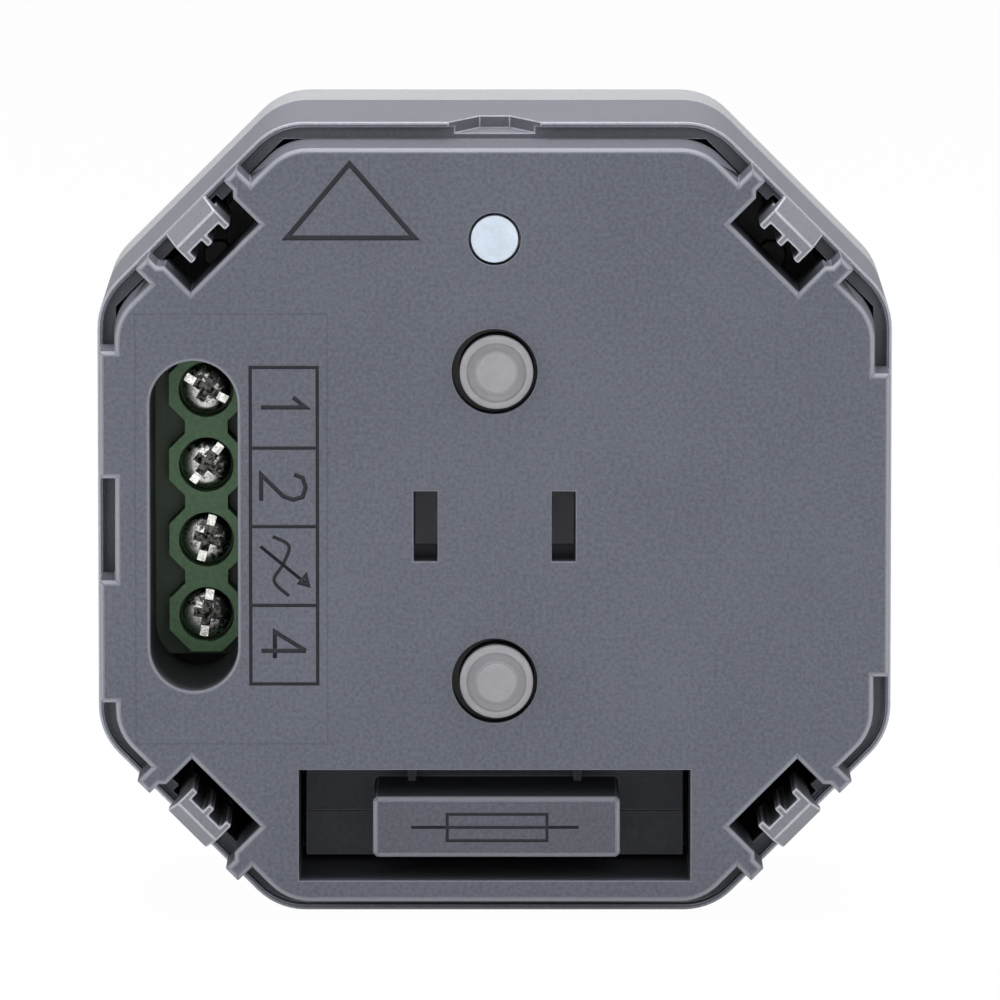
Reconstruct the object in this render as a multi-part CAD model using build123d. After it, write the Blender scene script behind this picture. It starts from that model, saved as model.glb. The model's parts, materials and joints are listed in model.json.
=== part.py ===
import os
from math import radians, sin, sqrt
from build123d import *

# Flush-mounted smart relay module for a round wall box, seen from the front:
# x runs to the right, y upwards, and z from the flat back face towards the viewer.
# The finished pieces are turned upright at the end, so that the front looks along -Y.

# Outer form
module_across = 52.0
module_depth = 32.0
corner_reach = 28.5
corner_radius = 4.5
wall = 1.2
overrun = 2.0
bevel_share = 0.6
seat_gap = 0.1
clear_gap = 0.3
running_gap = 0.08

# Front cover
plate_thickness = 1.8
plateau_height = 5.0
plateau_inset = 1.3
plateau_corner_inset = 1.45
plateau_draft_angle = 2.5
face_edge_chamfer = 0.25
skirt_depth = 3.0
skirt_wall = 1.2
left_tab_top = 11.45
left_tab_split_top = 3.12
left_tab_split_bottom = -3.57
left_tab_bottom = -11.6
right_tab_top = 10.0
right_tab_bottom = -9.9
tab_inset = 0.25
pocket_depth = 3.7
pocket_mouth_length = 1.2
pocket_mouth_flare = 0.35
pocket_width = 6.3
pocket_wall = 0.9
ear_width = 1.5
ear_inset = 0.12
latch_x = 8.0
latch_width = 6.0
latch_height = 0.9
latch_proud = 0.35

# Housing body
rim_lip_width = 0.35
rim_lip_chamfer = 0.1
rim_groove_depth = 1.0
top_notch_width = 6.0
top_notch_floor_width = 2.0
top_notch_length = 5.0
top_notch_depth = 0.8
support_rib_offset = 5.2
support_rib_width = 1.0
support_rib_depth = 1.6
hook_boss_height = 2.0
hook_cheek_height = 1.1
hook_cheek_width = 0.7

# Rear cover
rear_cover_height = 9.5
rear_floor = 1.5
rear_edge_chamfer = 1.2
tongue_length = 4.0
tongue_thickness = 0.9
tongue_root = 3.0

# Snap hooks at the cut corners
hook_width = 3.55
hook_inset = 1.8
hook_arm_thickness = 0.85
hook_nose_inset = 0.02
hook_nose_height = 3.2
hook_nose_edge = 0.5
hook_lead_in_height = 1.8
hook_top_width = 0.82
hook_rib_width = 0.45
hook_rib_depth = 0.6
hook_rib_length = 15.0

# Buttons and light guide
button_offset = 10.14
button_hole_diameter = 5.58
button_diameter = 4.79
button_proud = 0.7
button_disc_diameter = 2.6
button_disc_proud = 0.4
button_edge_chamfer = 0.2
button_shift = 0.12
button_flange_across = 6.8
button_flange_thickness = 0.8
button_stem_across = 1.8
button_travel = 0.5
guide_ring_wall = 0.8
guide_ring_length = 1.4
light_inset = 7.2
light_hole_diameter = 3.42
light_diameter = 3.07
light_collar_across = 5.0
light_collar_thickness = 0.8
light_stem_across = 2.6

# Blade slots
blade_slot_spacing = 9.0
blade_slot_width = 1.57
blade_slot_height = 4.6
blade_slot_depth = 9.2
blade_slot_wall = 0.8

# Terminals: four lifting-cage clamps
terminal_count = 4
terminal_pitch = 5.0
terminal_slot_inset = 6.4
terminal_slot_width = 5.73
terminal_slot_height = 21.65
terminal_slot_chamfer = 0.13
terminal_screw_inset = 6.9
terminal_shroud_wall = 0.9
terminal_seat_height = 8.2
terminal_head_thickness = 1.6
terminal_head_diameter = 3.2
terminal_well_diameter = 3.63
terminal_shank_diameter = 2.4
terminal_shank_across = 2.2
terminal_shelf = 0.8
tower_across = 4.96
tower_bridge_width = 2.86
tower_top_proud = 0.6
block_length = 9.7
block_end_wall = 0.8
cage_width = 3.8
cage_length = 4.0
cage_leg = 0.5
cage_bend_chamfer = 0.35
cage_nut_thickness = 0.9
cage_bar_thickness = 0.6
cage_travel = 1.4
cage_gap = 0.2
bus_bar_thickness = 0.6
bus_bar_width = 2.2
wire_space = 2.4
wire_entry_width = 3.2
wire_entry_chamfer = 0.5
recess_slot_width = 0.55
recess_slot_depth = 0.7
recess_cross_length = 1.9
recess_cross_width = 0.5
recess_cross_depth = 1.0

# Fuse well and pull-out carrier
fuse_end_space = 2.8
fuse_well_height = 7.32
fuse_well_bottom_inset = 2.66
fuse_well_wall = 1.0
fuse_length = 20.0
fuse_diameter = 5.2
fuse_cap_length = 5.0
fuse_cap_wall = 0.15
fuse_glass_wall = 0.6
fuse_wire = 0.3
knob_width = 16.15
knob_height = 4.0
knob_recess = 0.3
knob_edge_chamfer = 0.25
knob_rib_share = 0.676
knob_shift = 0.12
knob_drop = 0.15
carrier_plate_depth = 9.5
carrier_plate_thickness = 1.0
carrier_plate_gap = 0.35
carrier_step = 0.4
jaw_width = 2.0
jaw_spacing = 6.0
jaw_thickness = 0.6
end_tab_thickness = 0.9
end_tab_gap = 0.25
carrier_rib_width = 0.5
carrier_rib_height = 1.6
clip_width = 3.0
clip_thickness = 0.3
clip_flare = 0.35
clip_rise = 1.6
clip_tail_width = 2.0

# Boards
control_standoff = 5.2
control_thickness = 1.0
control_post_offset = 12.9
control_post_diameter = 2.4
control_pin_diameter = 1.1
power_standoff = 4.9
power_thickness = 1.6
power_post_x = 18.5
power_post_y = 15.5
power_post_diameter = 4.0
power_pin_diameter = 1.8
stake_height = 0.7
solder_stub = 1.0
board_edge_gap = 1.3

# Small parts on the control board
tact_across = 4.5
tact_height = 1.5
tact_floor = 0.15
tact_plunger_across = 2.0
tact_plunger_height = 1.0
led_length = 1.6
led_width = 0.8
led_height = 0.6
radio_x = 13.2
radio_y = 0.5
radio_width = 11.6
radio_height = 15.0
radio_thickness = 0.8
shield_width = 9.6
shield_height = 9.0
shield_thickness = 1.8
shield_wall = 0.2
controller_x = -10.3
controller_across = 6.0
controller_thickness = 0.9
header_x = 20.3
header_pin_spacing = 2.0
header_pins = 6
header_strip_width = 2.5
header_strip_height = 2.5
header_pin = 0.6

# Parts on the power board
choke_x = -9.0
choke_y = 1.4
choke_diameter = 7.6
choke_headroom = 8.0
choke_flange = 1.0
choke_neck_across = 3.6
choke_coil_diameter = 6.6
varistor_x = -9.2
varistor_y = -8.0
varistor_diameter = 7.2
varistor_thickness = 3.0
lead_diameter = 0.6
lead_length = 1.2
filter_x = -10.2
filter_y = 14.6
filter_width = 5.0
filter_length = 12.0
filter_headroom = 5.5
transformer_x = -0.8
transformer_y = 13.6
core_width = 12.0
core_length = 5.0
core_headroom = 5.0
core_leg = 2.4
bobbin_length = 10.0
bobbin_wall = 0.6
winding_gap = 0.4
capacitor_x = 11.0
capacitor_y = 15.2
capacitor_diameter = 8.0
capacitor_headroom = 4.5
capacitor_foot = 0.6
rectifier_x = 3.8
rectifier_y = -6.0
rectifier_width = 6.4
rectifier_length = 5.0
rectifier_height = 2.6
spreader_x = 14.2
spreader_y = -3.0
spreader_length = 20.0
spreader_headroom = 3.0
spreader_thickness = 1.2
transistor_count = 2
transistor_pitch = 10.0
transistor_width = 9.0
transistor_headroom = 4.0
transistor_thickness = 4.2
transistor_lift = 3.0
transistor_tab_thickness = 1.2
transistor_tab_height = 3.0

# Levels above the back face
face_level = module_depth
plate_under_level = face_level - plate_thickness
rim_level = face_level - plateau_height
skirt_end_level = rim_level - skirt_depth
parting_level = rear_cover_height
control_top_level = plate_under_level - control_standoff
control_under_level = control_top_level - control_thickness
power_under_level = rear_floor + power_standoff
power_top_level = power_under_level + power_thickness
board_space = control_under_level - power_top_level
choke_height = board_space - choke_headroom
filter_height = board_space - filter_headroom
core_height = board_space - core_headroom
capacitor_height = board_space - capacitor_headroom
spreader_height = board_space - spreader_headroom
transistor_height = board_space - transistor_headroom - transistor_lift

# Fuse well and clips, as long as the fuse needs
fuse_well_width = fuse_length + fuse_end_space * 2
clip_offset = (fuse_length - fuse_cap_length) / 2

# Half sizes of the nested outlines
half_across = module_across / 2
inner_half = half_across - wall
inner_reach = corner_reach - wall
plateau_half = half_across - plateau_inset
plateau_reach = corner_reach - plateau_corner_inset
plateau_radius = corner_radius - rim_lip_width * 2
skirt_inner_half = plateau_half - skirt_wall
skirt_inner_reach = plateau_reach - skirt_wall
pocket_inner_reach = corner_reach - pocket_depth
ear_reach = corner_reach - ear_inset
hook_inner_reach = corner_reach - hook_inset
hook_nose_reach = corner_reach - hook_nose_inset

corner_turns = {"upper_right": 45, "upper_left": 135, "lower_left": 225, "lower_right": 315}


def block(x_low, x_high, y_low, y_high, z_low, z_high):
    """A block between six planes."""
    corner = (Align.MIN, Align.MIN, Align.MIN)
    return Pos(x_low, y_low, z_low) * Box(x_high - x_low, y_high - y_low, z_high - z_low, align=corner)


def rod(x, y, diameter, z_low, z_high):
    """An upright cylinder."""
    upright = (Align.CENTER, Align.CENTER, Align.MIN)
    return Pos(x, y, z_low) * Cylinder(diameter / 2, z_high - z_low, align=upright)


def post(x, y, across, z_low, z_high):
    """An upright eight-sided post."""
    sides = RegularPolygon(across / 2, 8, major_radius=False)
    return prism(Pos(x, y) * Rot(0, 0, 22.5) * sides, z_low, z_high)


def prism(sketch, z_low, z_high):
    """A sketch drawn at level zero, raised between two levels."""
    return Pos(0, 0, z_low) * extrude(sketch, z_high - z_low)


def plate_along_y(sketch, y_low, y_high):
    """A sketch drawn in x and z, carried along y."""
    upright = Plane((0, y_high, 0), x_dir=(1, 0, 0), z_dir=(0, -1, 0))
    return extrude(upright * sketch, y_high - y_low)


def plain_cut_square(half, reach):
    """A square with its corners cut off at this reach."""
    side_end = reach * sqrt(2) - half
    points = []
    for x_sign, y_sign in ((1, 1), (-1, 1), (-1, -1), (1, -1)):
        pair = [(x_sign * half, y_sign * side_end), (x_sign * side_end, y_sign * half)]
        if x_sign * y_sign < 0:
            pair.reverse()
        points += pair
    return Polygon(*points, align=None)


def cut_square(half, reach, radius):
    """A square with its corners cut off at this reach, and its eight bends rounded."""
    outline = plain_cut_square(half, reach)
    return fillet(outline.vertices(), radius)


def at_each_corner(shape):
    """Copies of a shape drawn on the +x axis, one at each cut corner."""
    return [Rot(0, 0, turn) * shape for turn in corner_turns.values()]


def latch_places():
    """Where the covers snap into the housing: two places on the top and two on the bottom."""
    for x in (-latch_x, latch_x):
        for side in (0, 180):
            yield Rot(0, 0, side) * Pos(x, 0, 0)


def make_housing_body():
    """The dark side wall, open at both ends, with the rim and the hook channels."""
    outer = cut_square(half_across, corner_reach, corner_radius)
    inner = plain_cut_square(inner_half, inner_reach)
    body = prism(outer, parting_level, rim_level)
    body = chamfer(body.faces().sort_by(Axis.Z)[-1].edges(), rim_lip_chamfer)
    body -= prism(inner, parting_level - overrun, rim_level + overrun)
    lip = cut_square(half_across - rim_lip_width, corner_reach - rim_lip_width, corner_radius - rim_lip_width)
    body -= prism(lip, rim_level - rim_groove_depth, rim_level + overrun)

    notch_points = [
        (-top_notch_width / 2, rim_level + overrun),
        (-top_notch_width / 2, rim_level),
        (-top_notch_floor_width / 2, rim_level - top_notch_length),
        (top_notch_floor_width / 2, rim_level - top_notch_length),
        (top_notch_width / 2, rim_level),
        (top_notch_width / 2, rim_level + overrun),
    ]
    notch = Polygon(*notch_points, align=None)
    body -= plate_along_y(notch, half_across - top_notch_depth, half_across + overrun)

    channel_half = hook_width / 2 + clear_gap
    channel_reach = hook_inner_reach + hook_arm_thickness + clear_gap
    channel = block(
        inner_reach - overrun, channel_reach, -channel_half, channel_half, hook_boss_level(), rim_level + overrun
    )
    for cut in at_each_corner(channel):
        body -= cut

    boss_half = hook_width / 2 + running_gap + hook_cheek_width
    boss_inner = hook_inner_reach - hook_rib_depth
    boss = block(boss_inner, corner_reach - wall / 2, -boss_half, boss_half, parting_level, hook_boss_level())
    cheek_top = hook_boss_level() + hook_cheek_height
    for side in (-1, 1):
        y_pair = sorted((side * boss_half, side * (boss_half - hook_cheek_width)))
        boss += block(boss_inner, corner_reach - wall / 2, *y_pair, parting_level, cheek_top)
    support = block(
        inner_reach - support_rib_depth,
        corner_reach - wall / 2,
        support_rib_offset - support_rib_width / 2,
        support_rib_offset + support_rib_width / 2,
        parting_level,
        skirt_end_level,
    )
    for added in (boss, support, mirror(support, about=Plane.XZ)):
        for copy in at_each_corner(added):
            body += copy

    for y in terminal_places():
        body -= wire_entry(-half_across - overrun, -inner_half + overrun, y, parting_level - overrun)

    tongue_pocket = block(
        -latch_width / 2 - clear_gap,
        latch_width / 2 + clear_gap,
        inner_half - overrun,
        inner_half + latch_proud + seat_gap,
        tongue_barb_level() - seat_gap,
        tongue_barb_level() + latch_height + seat_gap,
    )
    cover_pocket = Pos(0, 0, skirt_end_level - tongue_barb_level()) * tongue_pocket
    for place in latch_places():
        body -= place * tongue_pocket
        body -= place * cover_pocket
    return body


def hook_boss_level():
    """Top of the boss that a snap hook's root stands on."""
    return parting_level + hook_boss_height


def tongue_barb_level():
    """Underside of the barb on a rear cover tongue."""
    return parting_level + tongue_length - latch_height * 2


def make_rear_cover():
    """The lighter rear shell with its board posts and four snap tongues."""
    outer = cut_square(half_across, corner_reach, corner_radius)
    inner = plain_cut_square(inner_half, inner_reach)
    cover = prism(outer, 0, parting_level)
    cover = chamfer(cover.faces().sort_by(Axis.Z)[0].edges(), rear_edge_chamfer)
    cover -= prism(inner, rear_floor, parting_level + overrun)

    outside = inner_half - seat_gap
    inside = outside - tongue_thickness
    tongue = block(
        -latch_width / 2, latch_width / 2, inside, outside, parting_level - tongue_root, parting_level + tongue_length
    )
    tongue += block(
        -latch_width / 2, latch_width / 2, inside, half_across - wall / 2, parting_level - tongue_root, parting_level
    )
    barb_points = [
        (0, 0),
        (latch_proud, 0),
        (0, latch_height),
    ]
    barb = latch_barb(barb_points, outside, tongue_barb_level())
    for place in latch_places():
        cover += place * (tongue + barb)

    for x, y in power_post_places():
        cover += post(x, y, power_post_diameter, rear_floor - rear_floor / 2, power_under_level)
        cover += post(x, y, power_pin_diameter, power_under_level, power_top_level + stake_height)
    return cover


def latch_barb(points, wall_y, level):
    """A ramp-shaped barb on a wall that faces +y; its outline is given as (out, up) from its foot."""
    outline = Polygon(*points, align=None)
    along_x = Plane((-latch_width / 2, wall_y, level), x_dir=(0, 1, 0), z_dir=(1, 0, 0))
    return extrude(along_x * outline, latch_width)


def make_front_cover():
    """The front cover: plateau, skirt, corner pockets, shafts, fuse well and posts."""
    base_grow = plateau_height * sin(radians(plateau_draft_angle))
    base = cut_square(plateau_half + base_grow, plateau_reach + base_grow, plateau_radius)
    cover = Pos(0, 0, rim_level) * extrude(base, plateau_height, taper=plateau_draft_angle)

    tab_reach = half_across - tab_inset
    tab_low = rim_level + seat_gap / 2
    for y_low, y_high in ((left_tab_split_top, left_tab_top), (left_tab_bottom, left_tab_split_bottom)):
        cover += block(-tab_reach, -plateau_half + plateau_inset, y_low, y_high, tab_low, face_level)
    cover += block(plateau_half - plateau_inset, tab_reach, right_tab_bottom, right_tab_top, tab_low, face_level)

    ear_half = pocket_width / 2 + ear_width
    ear = block(plateau_reach - ear_width, ear_reach, -ear_half, ear_half, tab_low, face_level)
    pocket = block(
        pocket_inner_reach,
        corner_reach + overrun,
        -pocket_width / 2,
        pocket_width / 2,
        skirt_end_level - overrun,
        face_level + overrun,
    )
    mouth_low = ear_reach - pocket_mouth_length
    mouth_points = [
        (mouth_low, -pocket_width / 2),
        (mouth_low + pocket_mouth_flare, -pocket_width / 2 - pocket_mouth_flare),
        (corner_reach + overrun, -pocket_width / 2 - pocket_mouth_flare),
        (corner_reach + overrun, pocket_width / 2 + pocket_mouth_flare),
        (mouth_low + pocket_mouth_flare, pocket_width / 2 + pocket_mouth_flare),
        (mouth_low, pocket_width / 2),
    ]
    pocket += prism(Polygon(*mouth_points, align=None), skirt_end_level - overrun, face_level + overrun)
    for copy in at_each_corner(ear):
        cover += copy
    for cut in at_each_corner(pocket):
        cover -= cut
    cover = chamfer(cover.faces().sort_by(Axis.Z)[-1].outer_wire().edges(), face_edge_chamfer)

    skirt_outer = cut_square(plateau_half, plateau_reach, plateau_radius)
    skirt_inner = plain_cut_square(skirt_inner_half, skirt_inner_reach)
    cover += prism(skirt_outer, skirt_end_level, rim_level)
    cover -= prism(skirt_inner, skirt_end_level - overrun, plate_under_level)

    pocket_box = block(
        pocket_inner_reach - pocket_wall,
        plateau_reach - skirt_wall / 2,
        -pocket_width / 2 - pocket_wall,
        pocket_width / 2 + pocket_wall,
        skirt_end_level,
        plate_under_level + plate_thickness / 2,
    )
    for copy in at_each_corner(pocket_box):
        cover += copy
    for cut in at_each_corner(pocket):
        cover -= cut

    barb = latch_barb([(0, 0), (latch_proud, 0), (0, latch_height)], plateau_half, skirt_end_level)
    for place in latch_places():
        cover += place * mirror_barb(barb)

    cover += fuse_well_walls() + terminal_shroud() + blade_shafts() + button_rings() + control_posts()
    cover -= fuse_well_cavity()
    cover -= terminal_slot(face_level + overrun)
    cover -= blade_slots()
    for y in (button_offset, -button_offset):
        cover -= rod(0, y, button_hole_diameter, skirt_end_level, face_level + overrun)
    cover -= rod(0, light_y(), light_hole_diameter, plate_under_level - overrun, face_level + overrun)
    return cover


def mirror_barb(barb):
    """The cover's barbs ramp the other way up: they enter the housing from the front."""
    middle = Plane((0, 0, skirt_end_level + latch_height / 2), z_dir=(0, 0, 1))
    return mirror(barb, about=middle)


def light_y():
    """Height of the light guide above the middle of the face."""
    return half_across - light_inset


def terminal_slot_x():
    """Centre of the terminal slot."""
    return -half_across + terminal_slot_inset


def terminal_screw_x():
    """Centre line of the terminal screws."""
    return -half_across + terminal_screw_inset


def terminal_places():
    """Heights of the terminal screws, from the top one down."""
    middle = (terminal_count - 1) / 2
    return [(middle - number) * terminal_pitch for number in range(terminal_count)]


def stadium(height, width, x):
    """An upright slot outline with round ends."""
    return Pos(x, 0) * Rot(0, 0, 90) * SlotOverall(height, width)


def shroud_end_level():
    """Lower end of the shroud round the terminal slot, just above the towers."""
    return tower_top_level() + clear_gap


def terminal_slot(z_high):
    """The open slot over the terminal screws, with its edge broken at the face."""
    outline = stadium(terminal_slot_height, terminal_slot_width, terminal_slot_x())
    slot = prism(outline, shroud_end_level() - overrun, face_level)
    grown = terminal_slot_chamfer * 2
    mouth = stadium(terminal_slot_height + grown, terminal_slot_width + grown, terminal_slot_x())
    edge = extrude(mouth, terminal_slot_chamfer, taper=45)
    slot += Pos(0, 0, face_level) * Rot(180, 0, 0) * edge
    return slot + prism(mouth, face_level, z_high)


def terminal_shroud():
    """The wall that lines the terminal slot behind the face."""
    grown = terminal_shroud_wall * 2
    outline = stadium(terminal_slot_height + grown, terminal_slot_width + grown, terminal_slot_x())
    return prism(outline, shroud_end_level(), plate_under_level)


def blade_slots():
    """Two blind slots that take the blades of an adapter."""
    low = face_level - blade_slot_depth
    cuts = Part()
    for x in (-blade_slot_spacing / 2, blade_slot_spacing / 2):
        half_width = blade_slot_width / 2
        half_height = blade_slot_height / 2
        cuts += block(x - half_width, x + half_width, -half_height, half_height, low, face_level + overrun)
    return cuts


def blade_shafts():
    """The closed shafts behind the blade slots."""
    low = face_level - blade_slot_depth - blade_slot_wall
    shafts = Part()
    for x in (-blade_slot_spacing / 2, blade_slot_spacing / 2):
        half_width = blade_slot_width / 2 + blade_slot_wall
        half_height = blade_slot_height / 2 + blade_slot_wall
        shafts += block(x - half_width, x + half_width, -half_height, half_height, low, plate_under_level)
    return shafts


def button_rings():
    """Short eight-sided collars behind the face that guide the button flanges."""
    rings = Part()
    for y in (button_offset, -button_offset):
        bore = button_flange_across + clear_gap * 2 + button_shift * 2
        outer = bore + guide_ring_wall * 2
        low = plate_under_level - guide_ring_length
        rings += post(0, y, outer, low, plate_under_level) - post(0, y, bore, low - overrun, plate_under_level)
    return rings


def control_post_places():
    """The four corners of the square on which the control board is fixed."""
    reach = control_post_offset
    return [(reach, reach), (-reach, reach), (-reach, -reach), (reach, -reach)]


def control_posts():
    """Posts that carry the control board, each with a pin through it."""
    posts = Part()
    for x, y in control_post_places():
        posts += post(x, y, control_post_diameter, control_top_level, plate_under_level)
        posts += post(x, y, control_pin_diameter, control_under_level - stake_height, control_top_level)
    return posts


def power_post_places():
    """Posts in the rear cover that carry the power board."""
    for x in (-power_post_x, power_post_x):
        for y in (-power_post_y, power_post_y):
            yield x, y


def fuse_y():
    """Height of the middle of the fuse well."""
    return -half_across + fuse_well_bottom_inset + fuse_well_height / 2


def fuse_level():
    """Level of the fuse's centre line."""
    return face_level - carrier_plate_depth - carrier_plate_thickness - seat_gap - fuse_diameter / 2


def well_floor_level():
    """Floor of the fuse well, on which the fuse clips sit."""
    return fuse_level() - fuse_diameter / 2 - running_gap - clip_thickness


def fuse_well_cavity():
    """The hollow of the fuse well, open to the front."""
    half_width = fuse_well_width / 2
    low_y = fuse_y() - fuse_well_height / 2
    high_y = fuse_y() + fuse_well_height / 2
    cavity = block(-half_width, half_width, low_y, high_y, well_floor_level(), face_level + overrun)
    for x in (-clip_offset, clip_offset):
        tail_half = clip_tail_width / 2 + seat_gap
        thickness_half = clip_thickness / 2 + seat_gap
        cavity += block(
            x - tail_half,
            x + tail_half,
            fuse_y() - thickness_half,
            fuse_y() + thickness_half,
            well_floor_level() - fuse_well_wall - overrun,
            well_floor_level() + overrun,
        )
    return cavity


def fuse_well_walls():
    """The box behind the face that holds the fuse."""
    half_width = fuse_well_width / 2 + fuse_well_wall
    low_y = fuse_y() - fuse_well_height / 2 - fuse_well_wall
    high_y = fuse_y() + fuse_well_height / 2 + fuse_well_wall
    walls = block(-half_width, half_width, low_y, high_y, well_floor_level() - fuse_well_wall, plate_under_level)
    return chamfer(walls.edges().filter_by(Axis.Z), fuse_well_wall * bevel_share)


def hook_root_level():
    """Level of the bending axis at a snap hook's root."""
    return hook_boss_level() + running_gap + hook_arm_thickness / 2


def make_snap_hook():
    """A springy arm with a nose that catches the support frame, drawn on the +x axis."""
    inner = hook_inner_reach
    arm_outer = inner + hook_arm_thickness
    root = hook_root_level()
    nose_low = face_level - hook_nose_height
    points = [
        (inner, root),
        (arm_outer, root),
        (arm_outer, nose_low),
        (hook_nose_reach, nose_low + hook_nose_edge / 2),
        (hook_nose_reach, face_level - hook_lead_in_height),
        (inner + hook_top_width, face_level),
        (inner, face_level),
    ]
    outline = Polygon(*points, align=None) + Pos(inner + hook_arm_thickness / 2, root) * Circle(hook_arm_thickness / 2)
    hook = plate_along_y(outline, -hook_width / 2, hook_width / 2)
    rib_points = [
        (inner + hook_arm_thickness / 2, face_level - hook_rib_length),
        (inner + hook_arm_thickness / 2, face_level),
        (inner - hook_rib_depth, face_level),
        (inner - hook_rib_depth, face_level - hook_rib_length / 2),
    ]
    rib = Polygon(*rib_points, align=None)
    for y in (-(hook_width - hook_rib_width) / 2, 0, (hook_width - hook_rib_width) / 2):
        hook += plate_along_y(rib, y - hook_rib_width / 2, y + hook_rib_width / 2)
    return hook


def plate_along_x(sketch, x_low, x_high):
    """A sketch drawn in y and z, carried along x."""
    sideways = Plane((x_low, 0, 0), x_dir=(0, 1, 0), z_dir=(1, 0, 0))
    return extrude(sideways * sketch, x_high - x_low)


def make_button_cap(y):
    """A translucent cap: eight-sided flange behind the face, round body, raised disc and stem."""
    x = button_shift
    flange_top = plate_under_level - seat_gap
    flange_low = flange_top - button_flange_thickness
    top = face_level + button_proud
    body = rod(x, y, button_diameter, flange_low, top)
    body = chamfer(body.edges().group_by(Axis.Z)[-1], button_edge_chamfer)
    disc = rod(x, y, button_disc_diameter, top, top + button_disc_proud)
    flange = post(x, y, button_flange_across, flange_low, flange_top)
    stem = post(x, y, button_stem_across, plunger_top_level(), flange_low)
    return body + disc + flange + stem


def plunger_top_level():
    """Top of a tact switch's plunger at rest."""
    return control_top_level + tact_height + tact_plunger_height


def make_tact_switch(y):
    """The square body of a tact switch, with the bore of its plunger."""
    half = tact_across / 2
    x = button_shift
    body = block(x - half, x + half, y - half, y + half, control_top_level, control_top_level + tact_height)
    bore = tact_plunger_across + running_gap * 2
    return body - post(x, y, bore, control_top_level + tact_floor, control_top_level + tact_height + overrun)


def make_tact_plunger(y):
    """The plunger of a tact switch, which sinks into the body."""
    low = control_top_level + tact_floor + clear_gap + button_travel
    return post(button_shift, y, tact_plunger_across, low, plunger_top_level())


def make_light_guide():
    """A light guide: a disc flush with the face, a collar behind it and an eight-sided stem."""
    y = light_y()
    collar_low = plate_under_level - light_collar_thickness
    guide = rod(0, y, light_diameter, plate_under_level, face_level)
    guide += post(0, y, light_collar_across, collar_low, plate_under_level)
    tip_level = control_top_level + led_height + seat_gap
    return guide + post(0, y, light_stem_across, tip_level, collar_low)


def make_status_led():
    """The lamp chip below the light guide."""
    y = light_y()
    half_length = led_length / 2
    half_width = led_width / 2
    top = control_top_level + led_height
    return block(-half_length, half_length, y - half_width, y + half_width, control_top_level, top)


def make_control_board():
    """The front circuit board, cut away round the terminals, the fuse well and the blade shafts."""
    half = skirt_inner_half - clear_gap
    reach = pocket_inner_reach - pocket_wall - clear_gap
    board = prism(plain_cut_square(half, reach), control_under_level, control_top_level)
    low = control_under_level - overrun
    high = control_top_level + overrun
    shroud_edge = terminal_slot_x() + terminal_slot_width / 2 + terminal_shroud_wall + clear_gap
    shroud_half = terminal_slot_height / 2 + terminal_shroud_wall + clear_gap
    board -= block(-half - overrun, shroud_edge, -shroud_half, shroud_half, low, high)
    well_half = fuse_well_width / 2 + fuse_well_wall + clear_gap
    well_top = fuse_y() + fuse_well_height / 2 + fuse_well_wall + clear_gap
    board -= block(-well_half, well_half, -half - overrun, well_top, low, high)
    for x in (-blade_slot_spacing / 2, blade_slot_spacing / 2):
        shaft_width = blade_slot_width / 2 + blade_slot_wall + clear_gap
        shaft_height = blade_slot_height / 2 + blade_slot_wall + clear_gap
        board -= block(x - shaft_width, x + shaft_width, -shaft_height, shaft_height, low, high)
    for x, y in control_post_places():
        board -= post(x, y, control_pin_diameter + seat_gap, low, high)
    return board - header_pins_solid(seat_gap)


def header_places():
    """Heights of the header pins on the right-hand side."""
    middle = (header_pins - 1) / 2
    return [(number - middle) * header_pin_spacing for number in range(header_pins)]


def header_pins_solid(gap):
    """The square header pins, each grown by a gap on every side."""
    half = header_pin / 2 + gap
    pins = Part()
    for y in header_places():
        pins += block(
            header_x - half,
            header_x + half,
            y - half,
            y + half,
            power_under_level - solder_stub,
            control_top_level + solder_stub,
        )
    return pins


def make_pin_header():
    """The strip of pins that joins the two boards."""
    half_width = header_strip_width / 2
    half_length = header_pins * header_pin_spacing / 2
    strip = block(
        header_x - half_width,
        header_x + half_width,
        -half_length,
        half_length,
        power_top_level,
        power_top_level + header_strip_height,
    )
    return strip + header_pins_solid(0)


def make_radio_board():
    """The small radio board, soldered flat on the control board."""
    half_width = radio_width / 2
    half_height = radio_height / 2
    return block(
        radio_x - half_width,
        radio_x + half_width,
        radio_y - half_height,
        radio_y + half_height,
        control_top_level,
        control_top_level + radio_thickness,
    )


def make_radio_shield():
    """The drawn metal can over the radio parts, open towards its board."""
    half_width = shield_width / 2
    y_low = radio_y - radio_height / 2 + shield_wall * 2
    low = control_top_level + radio_thickness
    high = low + shield_thickness
    x_low = radio_x - half_width
    x_high = radio_x + half_width
    can = block(x_low, x_high, y_low, y_low + shield_height, low, high)
    can = chamfer(can.edges().filter_by(Axis.Z), shield_wall * bevel_share)
    hollow = block(
        x_low + shield_wall,
        x_high - shield_wall,
        y_low + shield_wall,
        y_low + shield_height - shield_wall,
        low - overrun,
        high - shield_wall,
    )
    return can - hollow


def make_microcontroller():
    """The flat processor package on the control board."""
    half = controller_across / 2
    top = control_top_level + controller_thickness
    return block(controller_x - half, controller_x + half, -half, half, control_top_level, top)


def screw_seat_level():
    """The shelf that the terminal screw heads sit on."""
    return power_top_level + terminal_seat_height


def tower_top_level():
    """Top of the terminal towers, a little above the screw heads."""
    return screw_seat_level() + terminal_head_thickness + tower_top_proud


def cage_open_top_level():
    """Top of a clamp cage when the terminal is open."""
    return screw_seat_level() - terminal_shelf - cage_gap - cage_travel


def bus_top_level():
    """Top of the contact bars, under the open cage's nut plate."""
    return cage_open_top_level() - cage_nut_thickness - cage_gap


def bus_under_level():
    """Underside of the contact bars, which the wire is pressed against."""
    return bus_top_level() - bus_bar_thickness


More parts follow.
